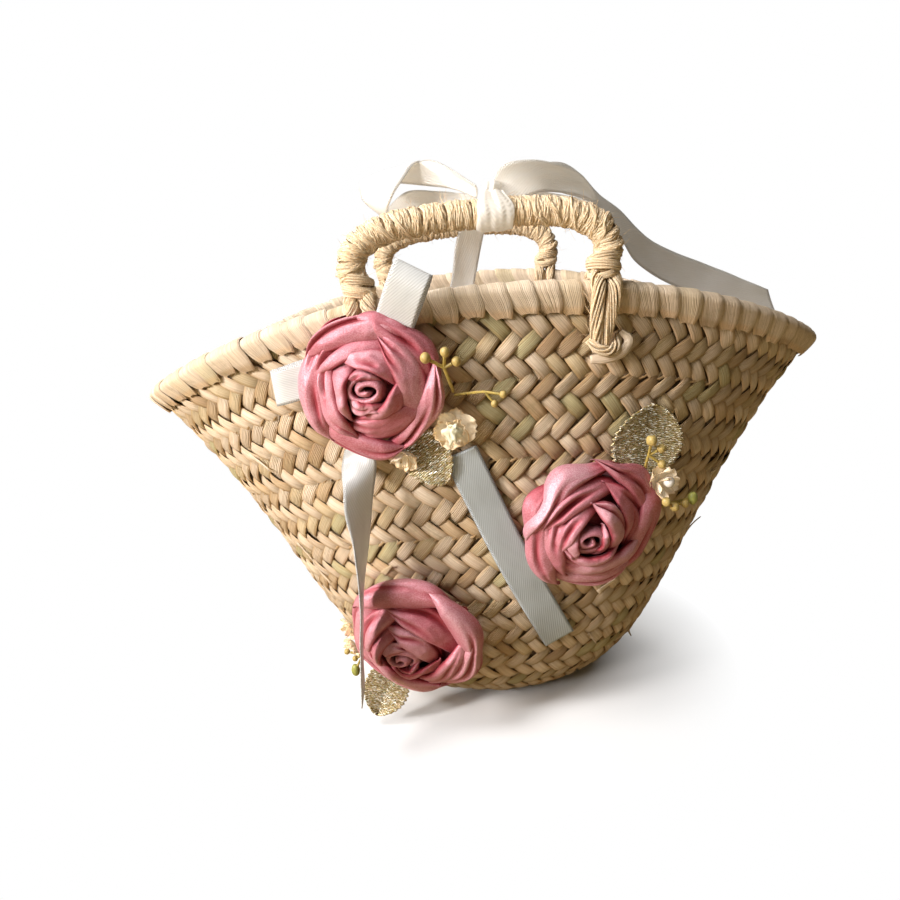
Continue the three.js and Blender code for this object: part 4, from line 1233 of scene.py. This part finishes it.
def blossom(rng, number, radius, at, tilt=(0, 0), inner=4):
    """Ruffled paper petals, an open ring and a tighter cup inside it, browned along their edges."""
    pile = Pile()
    turn = Matrix.Rotation(math.radians(tilt[0]), 3, "X") @ Matrix.Rotation(math.radians(tilt[1]), 3, "Y")
    turn = np.array(turn)
    place = in_spot(number)
    t = np.linspace(0, 1, 14)[:, None]
    w = np.linspace(-1, 1, 17)[None, :]
    for k in range(OUTER_PETALS + inner):
        is_inner = k >= OUTER_PETALS
        size = radius * (0.6 if is_inner else 1) * rng.uniform(0.8, 1.12)
        fan = (2.2 / inner if is_inner else 0.6) * rng.uniform(0.85, 1.15)
        heading = 2 * math.pi * (k / inner if is_inner else k / OUTER_PETALS) + rng.normal(0, 0.25)
        rise = (1.15 if is_inner else 0.42) * rng.uniform(0.5, 1.4)
        half = size * fan * np.sin(math.pi * np.clip(0.12 + 0.74 * t, 0, 1)) ** 0.6
        ruffle = smooth_noise(rng, 2, 9, 1.6, 3.6)(xyz(w * 2.4 + 0 * t, t * 1.2 + 0 * w))
        fringe = smooth_noise(rng, 1, 6, 3, 7)(w[..., None] * 1.5)
        out = 0.1 * size + size * t * (1 - 0.14 * w**2 + 0.06 * fringe * t)
        side = w * half
        up = size * rise * t**1.4 + 0.14 * size * w**2 * t + 0.13 * size * ruffle * t**1.5 + 0.35 * is_inner
        sheet = xyz(*turned(out, side, heading), up)
        # Painted shade: each petal darkens towards the middle of the flower. The browning along its rim is
        # the paper's own colour.
        shade = 1 - 0.2 * (1 - t) - 0.05 * np.maximum(np.abs(w), t) ** 8
        warm = np.maximum(np.abs(w), t) ** 9 * rng.uniform(0.2, 1.0)
        shade = xyz(shade, shade * (1 - 0.2 * warm), shade * (1 - 0.45 * warm))
        slab(pile, place(sheet @ turn.T + np.array(at)), 0.2, sheet, shade)
    return pile


def ball_like(node, stretch=1.0, lumps=0.05, seed=1, fine=1.7):
    """A berry or bead in a CAD ball's place: slightly lumpy, with a small blossom end."""
    low, high = node_box(node)
    centre, radius = (low + high) / 2, (high - low).min() / 2
    a = np.linspace(-math.pi / 2, math.pi / 2, 19)
    profile = [(math.cos(k), math.sin(k) - 0.12 * max(0.0, math.sin(k)) ** 12) for k in a]
    field = smooth_noise(np.random.default_rng(seed), 3, 8, 1.0, 3.0)
    size = radius * 1.04
    shape = lambda points: points * size * np.array([1, 1, stretch]) + centre
    wobble = lambda points: lumps * field(points * fine)
    return lathe(Pile(), profile, shape, 28, None, wobble)


# ---- Building everything ----
def build_wall(rng):
    right, left = weave(rng, False)
    right.build("basket_weave_right", PALM_RIBBED, "basket_body")
    left.build("basket_weave_left", PALM)
    right, left = weave(rng, True)
    right.build("basket_weave_inside_right", PALM_INSIDE)
    left.build("basket_weave_inside_left", PALM_INSIDE)
    backing().build("basket_weave_core", PALM_SHADE_SHEET)
    loose_slivers(rng).build("loose_leaf_slivers", PALM)
    course_stitches(rng).build("course_stitches", SISAL)
    rim(rng).build("rim_scales", PALM_RIM, "rim_braid")


def build_handles(rng):
    for side, body in ((-1, "front_handle"), (1, "back_handle")):
        handle_wrap(rng, side).build(f"{body}_sisal", SISAL, f"{body}_wrap", body)
    places = (
        ("front_left", -90 - HANDLE_ANGLE, 2.4, False),
        ("front_right", -90 + HANDLE_ANGLE, TIED_REACH, True),
        ("back_left", 90 + HANDLE_ANGLE, 13, True),
        ("back_right", 90 - HANDLE_ANGLE, 13, True),
    )
    for name, around, reach, gathered in places:
        pile = lashing(rng, around, reach, gathered)
        pile.build(f"{name}_lashing_strands", SISAL, f"{name}_lashing")
    tied_leaf(-90 + HANDLE_ANGLE, TIED_REACH).build("tied_leaf_strip", PALM)


def build_bow(rng):
    bow_wrap().build("bow_wrap_satin", CREAM, "bow_wrap", "front_handle")
    bow_knot().build("bow_knot_satin", CREAM, "bow_knot", "front_handle")
    # Painted shade: the right tail darkens to 0.7 of its colour by half way along and stays so to its end,
    # for the shade it turns into.
    fade = np.interp(np.linspace(0, 1, BOW_STATIONS), [0.1, 0.5], [1, 0.7])[:, None, None]
    fade = fade * np.ones((1, RIBBON_COLUMNS, 3))
    bends = {"tail_right": ((5, 0, 0), (20, 0, 0)), "tail_back": ((0, 6, 0), (0, 15, -5))}
    for part, keys, camber, ripple, tint in (
        ("loop_left", LEFT_LOOP, 0.5, 0.18, (1, 1, 1)),
        ("loop_right", RIGHT_LOOP, 0.5, 0.18, (1, 1, 1)),
        ("tail_right", RIGHT_TAIL, 0.3, 0.2, fade),
        ("tail_back", BACK_TAIL, 0.3, 0.15, (1, 1, 1)),
    ):
        edges = [(np.array(a) + BOW_POINT, np.array(b) + BOW_POINT) for a, b in keys]
        band = satin_band(rng, edges, tint, count=BOW_STATIONS, camber=camber, ripple=ripple)
        body = "front_handle"
        if part in bends:
            start, end = (BOW_POINT + np.array(point) for point in bends[part])
            body = ("front_handle", part, start, end)
        band.build(f"bow_{part}_satin", CREAM, f"bow_{part}", body)


def build_rose_ribbons(rng):
    shape = {"count": ROSE_RIBBON_STATIONS, "ripple": 0.08}
    left_loop = streamer_stations(1, (
        ((-9, 4.6, 0.9), (0.15, 1, 0), 1), ((-18, 4.6, 0.8), (0.15, 1, 0), 1),
        ((-26, 3.6, 1.0), (0.12, 1, 0), 1), ((-28.4, 3.4, 2.2), (0.12, 1, 0), 1),
        ((-26, 3.6, 3.4), (0.12, 1, 0), 1), ((-17, 4.4, 3.6), (0.15, 1, 0), 1)))
    satin_band(rng, left_loop, **shape).build("rose_loop_left_satin", SILVER, "rose_loop_left")
    top_loop = streamer_stations(1, (
        ((9.5, 14, 4.0), (0.83, -0.55, 0), 1), ((14, 20.4, 4.6), (0.8, -0.6, 0), 1),
        ((17.2, 25, 5.4), (0.79, -0.61, 0), 1), ((18.6, 27, 7), (0.79, -0.61, 0), 1),
        ((17.2, 25, 8.8), (0.79, -0.61, 0), 1), ((14.4, 21, 8.6), (0.8, -0.6, 0), 1),
        ((10.5, 15.4, 6.8), (0.83, -0.55, 0), 1)))
    satin_band(rng, top_loop, **shape).build("rose_loop_top_satin", SILVER, "rose_loop_top")
    left = streamer_stations(1, (
        ((-9.6, -16, 2.8), (1, 0.3, 0), 0.8), ((-10.2, -19.4, 3.6), (1, 0.3, 0), 1),
        ((-9.8, -22, 5.4), (1, 0.1, -0.3), 1), ((-10.2, -26, 7.6), (0.9, 0, -0.8), 1),
        ((-11.6, -32, 9), (0.7, 0, -1), 1), ((-13.2, -42, 10), (0.2, 0, -1), 1),
        ((-16.4, -56, 12.4), (-0.14, 0, -1), 1), ((-20.4, -72, 14.6), (-0.22, -0.05, -1), 1),
        ((-24.6, -90, 15.6), (-0.2, -0.06, -1), 1)))
    top = in_spot(1)(np.array([-10, -17, 3]))
    below = in_spot(1)(np.array([-10, -25, 5]))
    hang = ("basket", "left_streamer", top, below)
    satin_band(rng, left, **shape).build("streamer_left_satin", SILVER, "streamer_left", hang)
    right = wall_streamer((-96.2, 0.79), (-73.4, 0.412), 2.0)
    top, below = right[0][0] * 0.5 + right[0][1] * 0.5, right[2][0] * 0.5 + right[2][1] * 0.5
    hang = ("basket", "right_streamer", top, below)
    band = satin_band(rng, right, COOL_TINT, **shape)
    band.build("streamer_right_satin", SILVER, "streamer_right", hang)


def wall_streamer(start, end, sway):
    """Edges of the flat streamer, which lies down the wall and lifts a little at its end."""
    count = 12
    t = np.linspace(0, 1, count + 1)
    around = start[0] + (end[0] - start[0]) * t - sway * np.sin(math.pi * t)
    at, _, _, out = wall_axes(np.radians(around), start[1] + (end[1] - start[1]) * t)
    middle = at + out * (0.9 + 1.2 * t)[:, None]
    across = unit(np.cross(out, np.gradient(middle, axis=0))) * RIBBON_WIDTH / 2
    return list(zip(middle - across, middle + across))


def build_roses(rng):
    buds = {1: (0.5, 0.5), 2: (-3.4, -1.6), 3: (-3.4, -2.6)}
    starts = {1: 0.4, 2: 2.1, 3: 4.0}
    for number in (1, 2, 3):
        pile = rolled_rose(rng, number, buds[number], starts[number])
        pile.build(f"rose_{number}_rolled_satin", ROSE, f"rose_{number}_satin")


def build_trimmings(rng):
    leaves = {
        1: {"length": 23, "width": 15.2, "at": (3.6, -10.6, 1.25), "turn": -69},
        2: {"length": 26.5, "width": 23, "at": (15.6, 7, 1.3), "turn": 88},
        3: {"length": 23.5, "width": 15.5, "at": (-10.5, -11.2, 0.9), "turn": -119, "lift": 25},
    }
    for number, leaf in leaves.items():
        gold_leaf(rng, number, **leaf).build(f"leaf_{number}_gauze", GOLD, f"leaf_{number}")
    blossoms = {
        "1a": {"number": 1, "radius": 4.9, "at": (18.2, -16, 3.6), "tilt": (-10, 12), "inner": 9},
        "1b": {"number": 1, "radius": 4.4, "at": (2.8, -21.2, 2.6), "tilt": (30, -12)},
        "2": {"number": 2, "radius": 4.8, "at": (19.6, 10.8, 4.6), "tilt": (-4, 14)},
        "3a": {"number": 3, "radius": 3.6, "at": (-24.4, -0.4, 1.2), "tilt": (0, -30)},
        "3b": {"number": 3, "radius": 3.6, "at": (-25.6, -8.2, 1.4), "tilt": (10, -34)},
    }
    for name, shape in blossoms.items():
        pile = blossom(rng, **shape)
        pile.build(f"blossom_{name}_paper", PAPER, f"blossom_{name}_petals")
    ruffle = ball_like("blossom_1a_centre", 1.0, 0.26, 3, 5.5)
    ruffle.build("blossom_1a_ruffle", PAPER_CENTRE, "blossom_1a_centre")
    ball_like("blossom_2_pearl", 1.0, 0.0).build("blossom_2_bead", PEARL, "blossom_2_pearl")
    green = {"spray_2_berry_4", "pick_3_berry_3"}
    for i, node in enumerate(sorted(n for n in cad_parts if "_berry_" in n)):
        finish, stretch = (GREEN_BERRY, 1.5) if node in green else (BERRY, 1.12)
        ball_like(node, stretch, 0.05, i).build(f"{node}_bud", finish, node)


def finish_cad_nodes():
    """The CAD nodes that keep their own shape get their materials."""
    keep = {"_core": ROPE, "_felt": FELT, "_glue": GLUE, "_stem": STEM}
    for name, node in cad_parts.items():
        for ending, (_, surface) in keep.items():
            if name.endswith(ending):
                node.data.materials.clear()
                node.data.materials.append(surface)
                for polygon in node.data.polygons:
                    polygon.use_smooth = True
                places = np.array([v.co for v in node.data.vertices]) / MM
                mark(node.data, places, np.ones_like(places))


# ---- Stage ----
CAMERA_PLACE = (-9.6, -242.5, 148.3)
CAMERA_YAW, CAMERA_PITCH, CAMERA_ROLL = 0.012, 0.274, 0.089
CAMERA_LENS = 28.56
FLOOR_GAP = 0.0012
FLOOR_HALF = 3.0
SKY_COLOUR, SKY_STRENGTH = (1.0, 0.8, 0.44, 1), 0.06
GLOSSY_SKY, SEEN_SKY = (0.52, 0.49, 0.43), (1, 1, 1)
# Each light's place and target in metres, size, power and colour.
LIGHTS = {
    "key": ((-0.8, -0.42, 0.42), (0, 0, 0.08), 0.16, 9.4, (1.0, 0.965, 0.955)),
    "front": ((-0.44, -0.46, 0.34), (-0.03, 0, 0.08), 0.2, 1.7, (1.0, 0.975, 0.97)),
    "top": ((-0.36, -0.3, 0.88), (0, 0, 0.08), 0.3, 5.6, (1.0, 0.98, 0.975)),
    "back": ((-0.2, 0.6, 0.62), (-0.03, 0, 0.15), 0.35, 2.6, (1.0, 0.98, 0.97)),
}


def add_camera():
    data = bpy.data.cameras.new("camera")
    data.lens = CAMERA_LENS
    data.sensor_width = 36
    data.clip_start = 0.01
    camera = put("camera", data)
    yaw, pitch, roll = CAMERA_YAW, CAMERA_PITCH, CAMERA_ROLL
    right = Vector((math.cos(yaw), math.sin(yaw), 0))
    ahead = Vector((-math.sin(yaw) * math.cos(pitch), math.cos(yaw) * math.cos(pitch), -math.sin(pitch)))
    above = right.cross(ahead)
    x = right * math.cos(roll) - above * math.sin(roll)
    y = right * math.sin(roll) + above * math.cos(roll)
    turn = Matrix((x, y, -ahead)).transposed()
    camera.matrix_world = Matrix.Translation(Vector(CAMERA_PLACE) * MM) @ turn.to_4x4()
    bpy.context.scene.camera = camera


def add_light(name, place, target, size, power, colour):
    data = bpy.data.lights.new(name, "AREA")
    data.shape = "DISK"
    data.size = size
    data.energy = power
    data.color = colour
    light = put(name, data)
    light.location = place
    light.rotation_euler = (Vector(target) - Vector(place)).to_track_quat("-Z", "Y").to_euler()


def fade_to_white(surface):
    """Seen from the camera, the floor turns into the white backdrop away from the object."""
    away = surface.node("VectorMath", {0: surface.node("TexCoord").outputs["Object"]}, operation="LENGTH")
    share = surface.ramp(away.outputs["Value"], 0.035, 0.085)
    seen = surface.sum("MULTIPLY", share, surface.node("LightPath").outputs["Is Camera Ray"])
    surface.blend_in(seen, surface.node("Emission", {"Color": (1, 1, 1, 1)}))


def add_stage():
    world = bpy.data.worlds.new("studio")
    world.use_nodes = True
    tree = world.node_tree
    sky = tree.nodes["Background"]
    sky.inputs["Color"].default_value = SKY_COLOUR
    sky.inputs["Strength"].default_value = SKY_STRENGTH
    path = tree.nodes.new("ShaderNodeLightPath")
    seen = sky
    for ray, colour in (("Is Glossy Ray", GLOSSY_SKY), ("Is Camera Ray", SEEN_SKY)):
        white = tree.nodes.new("ShaderNodeBackground")
        white.inputs["Color"].default_value = (*colour, 1)
        mix = tree.nodes.new("ShaderNodeMixShader")
        tree.links.new(path.outputs[ray], mix.inputs[0])
        tree.links.new(seen.outputs[0], mix.inputs[1])
        tree.links.new(white.outputs[0], mix.inputs[2])
        seen = mix
    tree.links.new(seen.outputs[0], tree.nodes["World Output"].inputs[0])
    bpy.context.scene.world = world
    bpy.context.scene.view_settings.view_transform = "Standard"

    surface = Surface("pale_floor", 0.9)
    soft = surface.noise(surface.node("TexCoord").outputs["Object"], 2, scale=3.0)
    pale = surface.mix(soft, (0.92, 0.92, 0.91), (0.95, 0.95, 0.94))
    seen = surface.node("LightPath").outputs["Is Camera Ray"]
    material = surface.shape(Base_Color=surface.mix(seen, (0.36, 0.275, 0.14), pale))
    fade_to_white(surface)
    mesh = bpy.data.meshes.new("floor")
    corners = [(x * FLOOR_HALF, y * FLOOR_HALF, 0) for x, y in ((-1, -1), (1, -1), (1, 1), (-1, 1))]
    mesh.from_pydata(corners, [], [(0, 1, 2, 3)])
    mesh.materials.append(material)
    floor = put("floor", mesh)
    floor.location.z = -FLOOR_GAP

    for name, settings in LIGHTS.items():
        add_light(name, *settings)


rng = np.random.default_rng(FIRST_DRAW)
build_wall(rng)
build_handles(rng)
build_bow(rng)
build_rose_ribbons(rng)
build_roses(rng)
build_trimmings(rng)
finish_cad_nodes()
add_stage()
add_camera()
